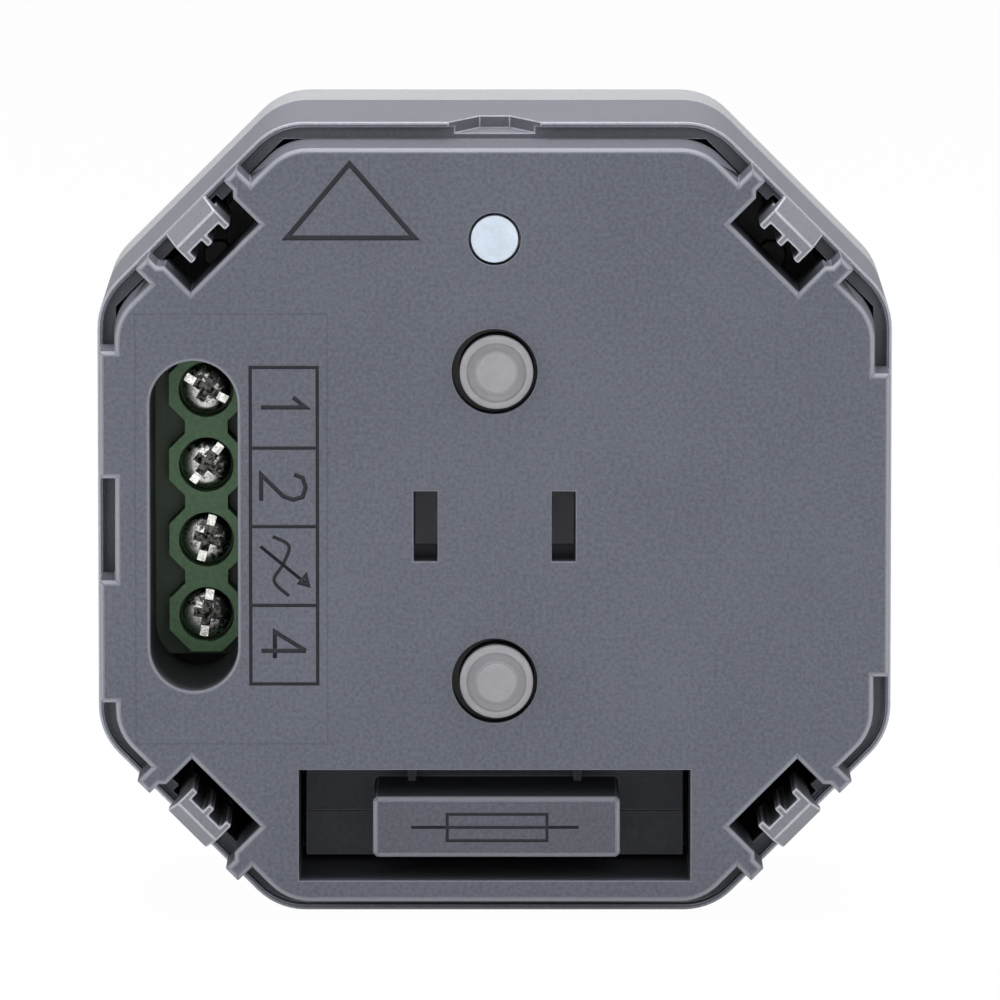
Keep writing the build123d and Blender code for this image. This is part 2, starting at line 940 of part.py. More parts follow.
def cage_bar_top_level():
    """The cage's lower bar when the terminal is open; the wire goes in above it."""
    return bus_under_level() - wire_space


def block_right_x():
    """Right-hand wall of the terminal block."""
    return -inner_half + cage_gap + block_length


def wire_entry(x_low, x_high, y, z_low):
    """A wire entry with its upper bends cut off, from a level up to the contact bars."""
    half = wire_entry_width / 2
    entry = block(x_low, x_high, y - half, y + half, z_low, bus_under_level())
    return chamfer(entry.edges().filter_by(Axis.X).group_by(Axis.Z)[-1], wire_entry_chamfer)


def make_terminal_block():
    """The green block: four cells for the cages, with an eight-sided tower over each screw."""
    x = terminal_screw_x()
    left = -inner_half + cage_gap
    right = block_right_x()
    cell_half = cage_width / 2 + cage_gap
    end = terminal_places()[0] + cell_half + block_end_wall
    body = block(left, right, -end, end, power_top_level, screw_seat_level())
    first = terminal_places()[0]
    bridge_half = tower_bridge_width / 2
    body += block(x - bridge_half, x + bridge_half, -first, first, screw_seat_level(), tower_top_level())
    tower = Rot(0, 0, 22.5) * RegularPolygon(tower_across / 2, 8, major_radius=False)
    for y in terminal_places():
        body += prism(Pos(x, y) * tower, screw_seat_level(), tower_top_level())
    shelf_under = screw_seat_level() - terminal_shelf
    for y in terminal_places():
        body -= rod(x, y, terminal_well_diameter, screw_seat_level(), tower_top_level() + overrun)
        bore = terminal_shank_diameter + running_gap * 2
        body -= post(x, y, bore, shelf_under - overrun, screw_seat_level() + overrun)
        reach = cage_length / 2 + clear_gap
        body -= block(
            x - reach, x + reach, y - cell_half, y + cell_half, power_top_level - overrun, shelf_under
        )
        body -= wire_entry(left - overrun, x, y, cage_bar_top_level())
        slot_half = bus_bar_width / 2 + seat_gap / 2
        body -= block(
            x,
            right + overrun,
            y - slot_half,
            y + slot_half,
            bus_under_level() - seat_gap / 2,
            bus_top_level() + seat_gap / 2,
        )
    return body


def make_terminal_screw(y, turn):
    """A terminal screw: cheese head with a slot and a cross recess, and a plain shank."""
    x = terminal_screw_x()
    seat = screw_seat_level() + running_gap / 2
    top = seat + terminal_head_thickness
    head = rod(0, 0, terminal_head_diameter, seat, top)
    screw = head + post(0, 0, terminal_shank_across, bus_top_level() + running_gap, seat)
    slot_half = recess_slot_width / 2
    reach = terminal_head_diameter / 2 + overrun
    cross_half = recess_cross_width / 2
    cross_reach = recess_cross_length / 2
    screw -= block(-reach, reach, -slot_half, slot_half, top - recess_slot_depth, top + overrun)
    for quarter in (0, 90):
        arm = block(
            -cross_reach, cross_reach, -cross_half, cross_half, top - recess_cross_depth, top + overrun
        )
        screw -= Rot(0, 0, quarter) * arm
    return Pos(x, y, 0) * Rot(0, 0, turn) * screw


def make_clamp_cage(y):
    """A bent steel cage: threaded plate above the contact bar, two legs and a lower bar."""
    x = terminal_screw_x()
    half_width = cage_width / 2
    half_length = cage_length / 2
    top = cage_open_top_level()
    low = cage_bar_top_level() - cage_bar_thickness
    cage = block(x - half_length, x + half_length, y - half_width, y + half_width, low, top)
    cage = chamfer(cage.edges().filter_by(Axis.X), cage_bend_chamfer)
    inside = half_width - cage_leg
    cage -= block(
        x - half_length - overrun,
        x + half_length + overrun,
        y - inside,
        y + inside,
        cage_bar_top_level(),
        top - cage_nut_thickness,
    )
    bore = terminal_shank_diameter + running_gap * 2
    return cage - post(x, y, bore, top - cage_nut_thickness - overrun, top + overrun)


def make_contact_bars():
    """Four tinned contact bars, each bent down to a solder pin behind the block."""
    x = terminal_screw_x()
    pin_x = block_right_x() + seat_gap
    bars = Part()
    for y in terminal_places():
        half = bus_bar_width / 2
        bars += block(
            x - cage_length / 2, pin_x + bus_bar_thickness, y - half, y + half, bus_under_level(), bus_top_level()
        )
        bars += bar_pin(y, 0)
    return bars


def bar_pin(y, gap):
    """The solder pin of one contact bar, grown by a gap."""
    pin_x = block_right_x() + seat_gap
    half = bus_bar_width / 4 + gap
    low = power_under_level - solder_stub
    return block(pin_x - gap, pin_x + bus_bar_thickness + gap, y - half, y + half, low, bus_under_level())


def carrier_plate_level():
    """Front side of the fuse carrier's base plate."""
    return face_level - carrier_plate_depth


def make_fuse_carrier():
    """The pull-out carrier: knob, base plate, two jaws round the glass and two end tabs."""
    top = carrier_plate_level()
    low = top - carrier_plate_thickness
    y = fuse_y()
    half_width = fuse_well_width / 2 - carrier_plate_gap
    half_height = fuse_well_height / 2 - carrier_plate_gap
    carrier = block(-half_width, half_width, y - half_height, y + half_height, low, top)
    carrier -= block(
        -half_width - overrun, half_width + overrun, y - carrier_step, y + half_height + overrun,
        top - carrier_step, top + overrun,
    )
    knob_half = knob_width / 2
    knob_low = y - knob_drop - knob_height / 2
    knob_high = knob_low + knob_height
    front = face_level - knob_recess
    knob = block(knob_shift - knob_half, knob_shift + knob_half, knob_low, knob_high, low, front)
    knob = chamfer(knob.edges().filter_by(Axis.Z) + knob.edges().group_by(Axis.Z)[-1], knob_edge_chamfer)
    carrier += knob
    rib_x = knob_half * knob_rib_share
    for x in (-rib_x, rib_x):
        carrier += block(
            x - carrier_rib_width / 2,
            x + carrier_rib_width / 2,
            knob_high - carrier_rib_width,
            y + half_height,
            low,
            top + carrier_rib_height,
        )
    glass = glass_diameter() / 2
    jaw_half = glass + jaw_thickness
    ring = Pos(y, fuse_level()) * Circle(jaw_half)
    ring += Pos(y, (fuse_level() + low) / 2) * Rectangle(jaw_half * 2, low - fuse_level() + seat_gap)
    ring -= Pos(y, fuse_level()) * Circle(glass)
    ring -= Pos(y, fuse_level() - glass - jaw_half / 2) * Rectangle(jaw_half * 2, jaw_half * 2)
    for x in (-jaw_spacing / 2, jaw_spacing / 2):
        carrier += plate_along_x(ring, x - jaw_width / 2, x + jaw_width / 2)
    tab_near = fuse_length / 2 + end_tab_gap
    for side in (-1, 1):
        x_pair = sorted((side * tab_near, side * (tab_near + end_tab_thickness)))
        carrier += block(*x_pair, y - glass, y + glass, fuse_level() - glass / 2, low + seat_gap)
    return carrier


def glass_diameter():
    """Outside of the fuse's glass tube, inside its metal caps."""
    return fuse_diameter - fuse_cap_wall * 2


def along_x_tube(outer, inner, x_low, x_high):
    """A tube along x on the fuse's centre line."""
    ring = Pos(fuse_y(), fuse_level()) * (Circle(outer / 2) - Circle(inner / 2))
    return plate_along_x(ring, x_low, x_high)


def make_fuse_glass():
    """The glass tube of the miniature fuse."""
    half = fuse_length / 2 - fuse_cap_wall
    return along_x_tube(glass_diameter(), glass_diameter() - fuse_glass_wall * 2, -half, half)


def make_fuse_caps():
    """The two metal end caps of the fuse."""
    half = fuse_length / 2
    bore = glass_diameter() + seat_gap / 4
    caps = Part()
    for side in (-1, 1):
        x_pair = sorted((side * half, side * (half - fuse_cap_length)))
        cap = plate_along_x(Pos(fuse_y(), fuse_level()) * Circle(fuse_diameter / 2), *x_pair)
        inner_pair = sorted((side * (half - fuse_cap_wall), side * (half - fuse_cap_length - overrun)))
        cap -= plate_along_x(Pos(fuse_y(), fuse_level()) * Circle(bore / 2), *inner_pair)
        caps += cap
    return caps


def make_fuse_wire():
    """The fuse element, stretched between the two caps."""
    half = fuse_length / 2 - fuse_cap_wall
    return plate_along_x(Pos(fuse_y(), fuse_level()) * Rectangle(fuse_wire, fuse_wire), -half, half)


def make_fuse_clips():
    """Two spring clips, shown spread round the caps, with tails to the power board."""
    y = fuse_y()
    level = fuse_level()
    inner = fuse_diameter / 2 + running_gap
    outer = inner + clip_thickness
    profile = Pos(y, level) * (Circle(outer) - Circle(inner))
    profile -= Pos(y, level + outer / 2) * Rectangle(outer * 2, outer)
    rise = level + clip_rise
    tip = rise + clip_flare * 2
    for side in (-1, 1):
        arm = [
            (y + side * inner, level),
            (y + side * outer, level),
            (y + side * outer, rise),
            (y + side * (outer + clip_flare), tip),
            (y + side * (inner + clip_flare), tip),
            (y + side * inner, rise),
        ]
        profile += Polygon(*arm[::side], align=None)
    clips = Part()
    for x in (-clip_offset, clip_offset):
        clips += plate_along_x(profile, x - clip_width / 2, x + clip_width / 2)
        clips += clip_tail(x, 0)
    return clips


def clip_tail(x, gap):
    """The solder tail below one fuse clip, grown by a gap."""
    half = clip_tail_width / 2 + gap
    thin = clip_thickness / 2 + gap
    low = power_under_level - solder_stub
    high = well_floor_level() + clip_thickness / 2
    return block(x - half, x + half, fuse_y() - thin, fuse_y() + thin, low, high)


def make_power_board():
    """The rear circuit board, which carries the mains side."""
    half = inner_half - board_edge_gap
    outline = plain_cut_square(half, inner_reach - board_edge_gap)
    board = prism(outline, power_under_level, power_top_level)
    low = power_under_level - overrun
    high = power_top_level + overrun
    for x, y in power_post_places():
        board -= post(x, y, power_pin_diameter + seat_gap, low, high)
    for y in terminal_places():
        board -= bar_pin(y, seat_gap)
    for x in (-clip_offset, clip_offset):
        board -= clip_tail(x, seat_gap)
    return board - header_pins_solid(seat_gap)


def on_power_board(shape, x, y):
    """A part drawn at level zero, set on the power board."""
    return Pos(x, y, power_top_level) * shape


def make_choke_core():
    """The ferrite drum of the choke: two flanges and a neck."""
    core = rod(0, 0, choke_diameter, 0, choke_flange) + post(0, 0, choke_neck_across, 0, choke_height)
    core += rod(0, 0, choke_diameter, choke_height - choke_flange, choke_height)
    return on_power_board(core, choke_x, choke_y)


def make_choke_winding():
    """The copper winding between the drum's flanges."""
    high = choke_height - choke_flange
    coil = rod(0, 0, choke_coil_diameter, choke_flange, high)
    coil -= post(0, 0, choke_neck_across, -overrun, choke_height + overrun)
    return on_power_board(coil, choke_x, choke_y)


def make_varistor():
    """A coated disc standing on its two leads."""
    centre = lead_length + varistor_diameter / 2
    half = varistor_thickness / 2
    disc = plate_along_x(Pos(0, centre) * Circle(varistor_diameter / 2), -half, half)
    for y in (-varistor_diameter / 4, varistor_diameter / 4):
        disc += post(0, y, lead_diameter, 0, centre)
    return on_power_board(disc, varistor_x, varistor_y)


def make_interference_capacitor():
    """A box-shaped film capacitor with its upper edges broken."""
    half_width = filter_width / 2
    half_length = filter_length / 2
    body = block(-half_width, half_width, -half_length, half_length, 0, filter_height)
    body = chamfer(body.edges().group_by(Axis.Z)[-1], filter_width / 10)
    return on_power_board(body, filter_x, filter_y)


def make_transformer_core():
    """A ferrite E core with its legs upright: two outer legs, a middle leg, two yokes."""
    half_width = core_width / 2
    half_length = core_length / 2
    core = block(-half_width, half_width, -half_length, half_length, 0, core_height)
    window = (core_width - core_leg * 4) / 2
    for side in (-1, 1):
        x_pair = sorted((side * core_leg, side * (core_leg + window)))
        core -= block(
            *x_pair, -half_length - overrun, half_length + overrun, core_leg / 2, core_height - core_leg / 2
        )
    return on_power_board(core, transformer_x, transformer_y)


def make_transformer_winding():
    """The wound bobbin round the core's middle leg."""
    low = core_leg / 2 + seat_gap
    high = core_height - core_leg / 2 - seat_gap
    window = (core_width - core_leg * 4) / 2
    outer_x = core_leg + window - seat_gap
    outer_y = bobbin_length / 2
    inner_x = core_leg + seat_gap / 4
    inner_y = core_length / 2 + seat_gap / 4
    bobbin = block(-outer_x, outer_x, -outer_y, outer_y, low, high)
    waist = block(-outer_x - overrun, outer_x + overrun, -outer_y - overrun, outer_y + overrun, 0, core_height)
    coil_x = outer_x - winding_gap
    coil_y = outer_y - winding_gap
    waist -= block(-coil_x, coil_x, -coil_y, coil_y, -overrun, core_height + overrun)
    waist -= block(-core_width, core_width, -core_width, core_width, -overrun, low + bobbin_wall)
    waist -= block(-core_width, core_width, -core_width, core_width, high - bobbin_wall, core_height + overrun)
    bobbin -= waist
    bobbin -= block(-inner_x, inner_x, -inner_y, inner_y, -overrun, core_height + overrun)
    return on_power_board(bobbin, transformer_x, transformer_y)


def make_electrolytic_capacitor():
    """An upright can with a step at its foot, where the sleeve is shrunk over the seal."""
    can = rod(0, 0, capacitor_diameter, capacitor_foot, capacitor_height)
    foot = post(0, 0, capacitor_diameter - capacitor_foot, 0, capacitor_foot)
    return on_power_board(can + foot, capacitor_x, capacitor_y)


def make_bridge_rectifier():
    """The flat rectifier package."""
    half_width = rectifier_width / 2
    half_length = rectifier_length / 2
    body = block(-half_width, half_width, -half_length, half_length, 0, rectifier_height)
    body = chamfer(body.edges().group_by(Axis.Z)[-1], rectifier_height / 8)
    return on_power_board(body, rectifier_x, rectifier_y)


def make_heat_spreader():
    """The aluminium plate behind the power transistors, folded over at the top."""
    half = spreader_length / 2
    plate = block(0, spreader_thickness, -half, half, 0, spreader_height)
    fold_high = spreader_height
    fold = block(0, spreader_thickness * 3, -half, half, fold_high - spreader_thickness, fold_high)
    return on_power_board(plate + fold, spreader_x, spreader_y)


def make_power_transistors():
    """The switching transistors, side by side on the heat spreader, each with its tab and legs."""
    group = Part()
    middle = (transistor_count - 1) / 2
    for number in range(transistor_count):
        y = (number - middle) * transistor_pitch
        half = transistor_width / 2
        low = transistor_lift
        high = low + transistor_height
        one = block(-transistor_thickness, 0, y - half, y + half, low, high - transistor_tab_height)
        one += block(-transistor_tab_thickness, 0, y - half, y + half, low, high)
        leg_x = -transistor_thickness / 2
        for leg_y in (-transistor_width / 4, 0, transistor_width / 4):
            half_leg = lead_diameter / 2
            one += block(
                leg_x - half_leg, leg_x + half_leg, y + leg_y - half_leg, y + leg_y + half_leg, 0, low
            )
        group += one
    return on_power_board(group, spreader_x, spreader_y)


def write_node(name, shape):
    """Turns a piece upright, front towards -Y, and writes it."""
    upright = Rot(90, 0, 0) * shape
    solids = upright.solids()
    whole = solids[0] if len(solids) == 1 else Compound(children=list(solids))
    whole.label = name
    export_step(whole, f"parts/{name}.step")


screw_turns = (-30, 52, 76, 80)

nodes = {
    "front_cover": make_front_cover(),
    "housing_body": make_housing_body(),
    "rear_cover": make_rear_cover(),
    "button_cap_upper": make_button_cap(button_offset),
    "button_cap_lower": make_button_cap(-button_offset),
    "tact_plunger_upper": make_tact_plunger(button_offset),
    "tact_plunger_lower": make_tact_plunger(-button_offset),
    "tact_switch_upper": make_tact_switch(button_offset),
    "tact_switch_lower": make_tact_switch(-button_offset),
    "light_guide": make_light_guide(),
    "status_led": make_status_led(),
    "control_board": make_control_board(),
    "radio_board": make_radio_board(),
    "radio_shield": make_radio_shield(),
    "microcontroller": make_microcontroller(),
    "pin_header": make_pin_header(),
    "terminal_block": make_terminal_block(),
    "contact_bars": make_contact_bars(),
    "fuse_carrier": make_fuse_carrier(),
    "fuse_glass": make_fuse_glass(),
    "fuse_caps": make_fuse_caps(),
    "fuse_wire": make_fuse_wire(),
    "fuse_clips": make_fuse_clips(),
    "power_board": make_power_board(),
    "choke_core": make_choke_core(),
    "choke_winding": make_choke_winding(),
    "varistor": make_varistor(),
    "interference_capacitor": make_interference_capacitor(),
    "transformer_core": make_transformer_core(),
    "transformer_winding": make_transformer_winding(),
    "electrolytic_capacitor": make_electrolytic_capacitor(),
    "bridge_rectifier": make_bridge_rectifier(),
    "heat_spreader": make_heat_spreader(),
    "power_transistors": make_power_transistors(),
}

for corner_name, corner_turn in corner_turns.items():
    nodes[f"snap_hook_{corner_name}"] = Rot(0, 0, corner_turn) * make_snap_hook()

for number, place in enumerate(terminal_places()):
    turn = screw_turns[number % len(screw_turns)]
    nodes[f"terminal_screw_{number + 1}"] = make_terminal_screw(place, turn)
    nodes[f"clamp_cage_{number + 1}"] = make_clamp_cage(place)

os.makedirs("parts", exist_ok=True)
for node_name, node_shape in nodes.items():
    write_node(node_name, node_shape)
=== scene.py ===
import json
import math

import bmesh
import bpy
import numpy as np
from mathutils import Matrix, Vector


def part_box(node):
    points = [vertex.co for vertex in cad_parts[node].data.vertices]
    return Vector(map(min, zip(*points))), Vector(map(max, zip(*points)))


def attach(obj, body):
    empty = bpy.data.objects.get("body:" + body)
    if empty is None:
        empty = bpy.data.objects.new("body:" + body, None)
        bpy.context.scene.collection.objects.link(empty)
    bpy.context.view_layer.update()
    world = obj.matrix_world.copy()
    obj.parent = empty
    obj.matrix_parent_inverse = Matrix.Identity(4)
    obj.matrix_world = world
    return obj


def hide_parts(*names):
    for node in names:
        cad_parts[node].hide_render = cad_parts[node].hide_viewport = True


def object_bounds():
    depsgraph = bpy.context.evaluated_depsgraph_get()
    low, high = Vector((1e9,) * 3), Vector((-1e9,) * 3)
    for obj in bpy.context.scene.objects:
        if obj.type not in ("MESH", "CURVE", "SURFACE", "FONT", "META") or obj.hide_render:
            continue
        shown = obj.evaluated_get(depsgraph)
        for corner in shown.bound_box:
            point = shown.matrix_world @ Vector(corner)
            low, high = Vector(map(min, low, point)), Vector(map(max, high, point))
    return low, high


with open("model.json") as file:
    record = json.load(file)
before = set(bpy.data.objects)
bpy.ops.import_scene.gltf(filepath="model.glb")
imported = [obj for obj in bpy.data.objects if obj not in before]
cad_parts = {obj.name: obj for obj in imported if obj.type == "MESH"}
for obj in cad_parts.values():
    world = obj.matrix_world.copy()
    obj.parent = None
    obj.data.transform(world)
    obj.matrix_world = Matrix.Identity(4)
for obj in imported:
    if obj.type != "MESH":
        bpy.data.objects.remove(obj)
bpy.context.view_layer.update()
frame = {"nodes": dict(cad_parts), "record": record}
nodes = frame["nodes"]
bodies = frame["record"]["behaviour"]["bodies"]
bodies_of = {node: body for body, members in bodies.items() for node in members}
mm = 0.001


# Rear cover. The light grey shell at the back is one injection moulding in a glass-filled
# plastic. Its outside is fine spark-eroded, and it snaps into the dark housing at a sharp line.
class Wire:
    """One socket of a material's node tree. Sums on wires add their Math nodes."""

    def __init__(self, tree, socket):
        self.tree = tree
        self.socket = socket

    def node(self, kind, settings=None, values=None, output=0):
        """Adds any node: its settings first, then the values or wires of its sockets."""
        added = self.tree.nodes.new(kind)
        for name, value in (settings or {}).items():
            if name == "stops":
                ramp = added.color_ramp
                while len(ramp.elements) < len(value):
                    ramp.elements.new(0.5)
                for element, (position, shade) in zip(ramp.elements, value):
                    element.position = position
                    element.color = shade
            else:
                setattr(added, name, value)
        for key, value in (values or {}).items():
            if isinstance(value, Wire):
                self.tree.links.new(value.socket, added.inputs[key])
            else:
                added.inputs[key].default_value = value
        return Wire(self.tree, added.outputs[output])

    def math(self, operation, first, second=0.0, third=0.0):
        values = {0: first, 1: second, 2: third}
        return self.node("ShaderNodeMath", {"operation": operation}, values)

    def alone(self, operation):
        """This wire through a Math operation of one value, such as SINE or ABSOLUTE."""
        return self.math(operation, self)

    def __add__(self, other):
        return self.math("ADD", self, other)

    def __radd__(self, other):
        return self.math("ADD", other, self)

    def __sub__(self, other):
        return self.math("SUBTRACT", self, other)

    def __rsub__(self, other):
        return self.math("SUBTRACT", other, self)

    def __mul__(self, other):
        return self.math("MULTIPLY", self, other)

    def __rmul__(self, other):
        return self.math("MULTIPLY", other, self)

    def __truediv__(self, other):
        return self.math("DIVIDE", self, other)

    def ramp(self, low, high, start=0.0, end=1.0):
        """Maps low..high to start..end, clamped."""
        values = {"Value": self, "From Min": low, "From Max": high, "To Min": start, "To Max": end}
        return self.node("ShaderNodeMapRange", {"interpolation_type": "SMOOTHSTEP"}, values)

    def axes(self):
        """The x, y and z of a vector."""
        return [self.node("ShaderNodeSeparateXYZ", {}, {0: self}, output=axis) for axis in range(3)]


def linear(red, green, blue):
    """A colour given as 0..255 screen values, in the linear values that a shader takes.

    It is the sRGB curve: a straight line near black, and above it a power of 2.4.
    """
    shares = [value / 255 for value in (red, green, blue)]
    curve = [s / 12.92 if s <= 0.04045 else ((s + 0.055) / 1.055) ** 2.4 for s in shares]
    return (*curve, 1.0)


def shade(colour, factor, lift=0.0):
    """A colour made darker or lighter by a factor, with a little lift."""
    return tuple(min(1.0, value * factor + lift) for value in colour[:3]) + (1.0,)


def new_finish(name):
    """A new material: the material, its shader, and the wire of its Object coordinates."""
    material = bpy.data.materials.new(name)
    material.use_nodes = True
    tree = material.node_tree
    shader = tree.nodes["Principled BSDF"]
    coordinates = tree.nodes.new("ShaderNodeTexCoord")
    return material, shader, Wire(tree, coordinates.outputs["Object"])


def mix(place, share, first, second):
    """A colour between two colours or wires."""
    settings = {"data_type": "RGBA", "blend_type": "MIX"}
    return place.node("ShaderNodeMix", settings, {0: share, 6: first, 7: second}, output=2)


def noise(place, grain, detail=2.0, roughness=0.5):
    """Soft noise whose grains are about this size in metres."""
    values = {"Vector": place, "Scale": 1.0 / grain, "Detail": detail, "Roughness": roughness}
    return place.node("ShaderNodeTexNoise", {"noise_dimensions": "3D"}, values)


def plug(wire, shader, socket):
    """Leads a wire into a shader's socket."""
    wire.tree.links.new(wire.socket, shader.inputs[socket])


def bump(place, height, distance, strength=1.0):
    """A normal that rises and falls with a height wire, by this distance in metres."""
    values = {"Height": height, "Distance": distance, "Strength": strength}
    return place.node("ShaderNodeBump", {}, values)


def shaded_by_depth(place, skin, depth_shade):
    """A colour wire painted darker with the depth, from the first y to the second: painted shade.
    """
    if not depth_shade:
        return skin
    start, end, dark = depth_shade
    return mix(place, place.axes()[1].ramp(start, end), skin, dark)


def eroded_plastic(name, colour, grain=0.12 * mm, rough=0.52, spread=0.1, depth_shade=None):
    """Moulded plastic from a spark-eroded tool: fine round pits, a little mottled, a soft sheen."""
    material, shader, place = new_finish(name)
    pits = noise(place, grain, detail=3.0, roughness=0.6)
    cloud = noise(place, 9 * mm, detail=3.0)
    speckle = noise(place, grain * 1.6, detail=1.0)
    share = (speckle * 0.55 + pits * 0.25 + cloud * 0.2).ramp(0.33, 0.67)
    skin = mix(place, share, shade(colour, 1 - spread), shade(colour, 1 + spread))
    # The colour may be painted darker further back in y: painted shade.
    plug(shaded_by_depth(place, skin, depth_shade), shader, "Base Color")
    plug((pits * 0.16 + cloud * 0.08) + (rough - 0.12), shader, "Roughness")
    plug(bump(place, pits, 0.02 * mm, 0.6), shader, "Normal")
    shader.inputs["Specular IOR Level"].default_value = 0.42
    return material


def soften(piece, width, segments=2, sharp=32, edge_highlight=None):
    """Smooth shading with sharp edges where the angle is wide, and a narrow bevel on those edges.

    The bevel may take a finish of its own: paler, a painted highlight, and a little smoother.
    The normals are weighted by area, so that a large face stays flat up to its bevel.
    """
    piece.data.shade_smooth()
    piece.data.set_sharp_from_angle(angle=math.radians(sharp))
    if width:
        edge = piece.modifiers.new("soft_edges", "BEVEL")
        edge.width = width
        edge.segments = segments
        edge.limit_method = "ANGLE"
        edge.angle_limit = math.radians(sharp)
        edge.use_clamp_overlap = edge_highlight is None
        # A paler finish on the bevel is a painted highlight along the edges.
        if edge_highlight:
            piece.data.materials.append(edge_highlight)
            edge.material = len(piece.data.materials) - 1
    flat_faces = piece.modifiers.new("flat_faces", "WEIGHTED_NORMAL")
    flat_faces.keep_sharp = True


def in_scene(name, data):
    """A new object of the scene, at the origin and unturned."""
    piece = bpy.data.objects.new(name, data)
    bpy.context.scene.collection.objects.link(piece)
    return piece


def dressed(name, node, finish, width=0.0, segments=2, edge_highlight=None):
    """A cleaned copy of a CAD node: doubles merged, flat areas joined, edges softened."""
    mesh = nodes[node].data.copy()
    mesh.materials.clear()
    weld, flat_angle = 0.0005 * mm, math.radians(0.6)
    shape = bmesh.new()
    shape.from_mesh(mesh)
    bmesh.ops.remove_doubles(shape, verts=shape.verts, dist=weld)
    bmesh.ops.dissolve_degenerate(shape, edges=shape.edges, dist=weld)
    bmesh.ops.dissolve_limit(shape, angle_limit=flat_angle, verts=shape.verts, edges=shape.edges)
    shape.to_mesh(mesh)
    shape.free()
    mesh.materials.append(finish)
    piece = in_scene(name, mesh)
    soften(piece, width, segments, edge_highlight=edge_highlight)
    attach(piece, bodies_of[node])
    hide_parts(node)
    return piece


def grid_faces(rows, columns, wrap_u=False, wrap_v=False):
    """The quads between neighbours on a grid of points, closed on itself where it wraps."""
    row = np.arange(rows if wrap_u else rows - 1)
    column = np.arange(columns if wrap_v else columns - 1)
    a, b = np.meshgrid(row, column, indexing="ij")
    a2, b2 = (a + 1) % rows, (b + 1) % columns
    near, far = a * columns, a2 * columns
    return np.stack([near + b, near + b2, far + b2, far + b], axis=-1).reshape(-1, 4).tolist()


def stroke(points, width, high, low, closed=False):
    """A strip of this width along a line of (x, z) points, as a prism from y = high to y = low.

    At each point the strip's sides lie half the width out along the mean of the two normals,
    lengthened by one over the cosine of half the turn, so that corners are mitred.
    """
    line = np.array(points, dtype=float) * mm
    ahead = np.roll(line, -1, axis=0) - line
    behind = line - np.roll(line, 1, axis=0)
    if not closed:
        ahead[-1], behind[0] = behind[-1], ahead[0]
    ahead /= np.linalg.norm(ahead, axis=1)[:, None]
    behind /= np.linalg.norm(behind, axis=1)[:, None]
    mean = ahead + behind
    mean /= np.linalg.norm(mean, axis=1)[:, None]
    normal = np.stack([-mean[:, 1], mean[:, 0]], axis=1)
    out = normal * (width / 2 / np.sum(mean * ahead, axis=1))[:, None]
    count = len(line)
    corners = [(line + out, high), (line - out, high), (line - out, low), (line + out, low)]
    rings = [np.insert(flat, 1, level, axis=1) for flat, level in corners]
    points_3d = np.stack(rings, axis=1).reshape(-1, 3)
    faces = grid_faces(count, len(corners), wrap_u=closed, wrap_v=True)
    if not closed:
        last = (count - 1) * 4
        faces += [[3, 2, 1, 0], [last, last + 1, last + 2, last + 3]]
    return points_3d, faces


def engrave(piece, strips, finish, width=0.0):
    """Cuts strips out of a piece, gives the cut walls their finish, and softens the edges again.

    Where the piece was bevelled before the cut, its shading is split at the bevel's own turns.
    """
    if "flat_faces" in piece.modifiers:
        piece.modifiers.remove(piece.modifiers["flat_faces"])
    piece.data.materials.append(finish)
    slots = len(piece.data.materials)
    cutters = []
    for points, faces in strips:
        mesh = bpy.data.meshes.new("cutter")
        mesh.from_pydata(points.tolist(), [], faces)
        shape = bmesh.new()
        shape.from_mesh(mesh)
        bmesh.ops.recalc_face_normals(shape, faces=shape.faces)
        shape.to_mesh(mesh)
        shape.free()
        for _ in range(slots):
            mesh.materials.append(finish)
        mesh.polygons.foreach_set("material_index", [slots - 1] * len(mesh.polygons))
        cutter = in_scene("cutter", mesh)
        knife = piece.modifiers.new("cut", "BOOLEAN")
        knife.object = cutter
        knife.operation = "DIFFERENCE"
        knife.solver = "EXACT"
        knife.material_mode = "INDEX"
        cutters.append(cutter)
    depsgraph = bpy.context.evaluated_depsgraph_get()
    cut = bpy.data.meshes.new_from_object(piece.evaluated_get(depsgraph))
    piece.modifiers.clear()
    piece.data = cut
    for cutter in cutters:
        bpy.data.objects.remove(cutter)
    corner_angle, bevel_turn = 32, 20
    soften(piece, width, sharp=corner_angle if width else bevel_turn)


rear_plastic = eroded_plastic("rear_cover_plastic", linear(150, 151, 154), rough=0.5)
# The bevels get a paler copy of the shell's plastic: a painted highlight along the edges.
rear_edge_highlight = eroded_plastic("rear_cover_edge_highlight", linear(176, 177, 180), rough=0.36)
rear_shell = dressed("rear_shell", "rear_cover", rear_plastic, 0.07 * mm, edge_highlight=rear_edge_highlight)
rear_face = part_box("rear_cover")[1][1]
mark_line, mark_top, mark_floor = 0.14 * mm, rear_face + 0.2 * mm, rear_face - 0.08 * mm
mark_turn = np.linspace(0, 2 * np.pi, 28, endpoint=False)
unit_ring = np.stack([np.cos(mark_turn), np.sin(mark_turn)], axis=1)
pin_marks = [(-17, 15, 1.4), (17, 15, 1.4), (-17, -16, 1.4), (17, -16, 1.4)]
gate_mark = (0, 15.5, 0.7)
marks = []
for mark_x, mark_z, mark_radius in [*pin_marks, gate_mark]:
    ring = np.array([mark_x, mark_z]) + mark_radius * unit_ring
    marks.append(stroke(ring, mark_line, mark_top, mark_floor, closed=True))
engrave(rear_shell, marks, rear_plastic)


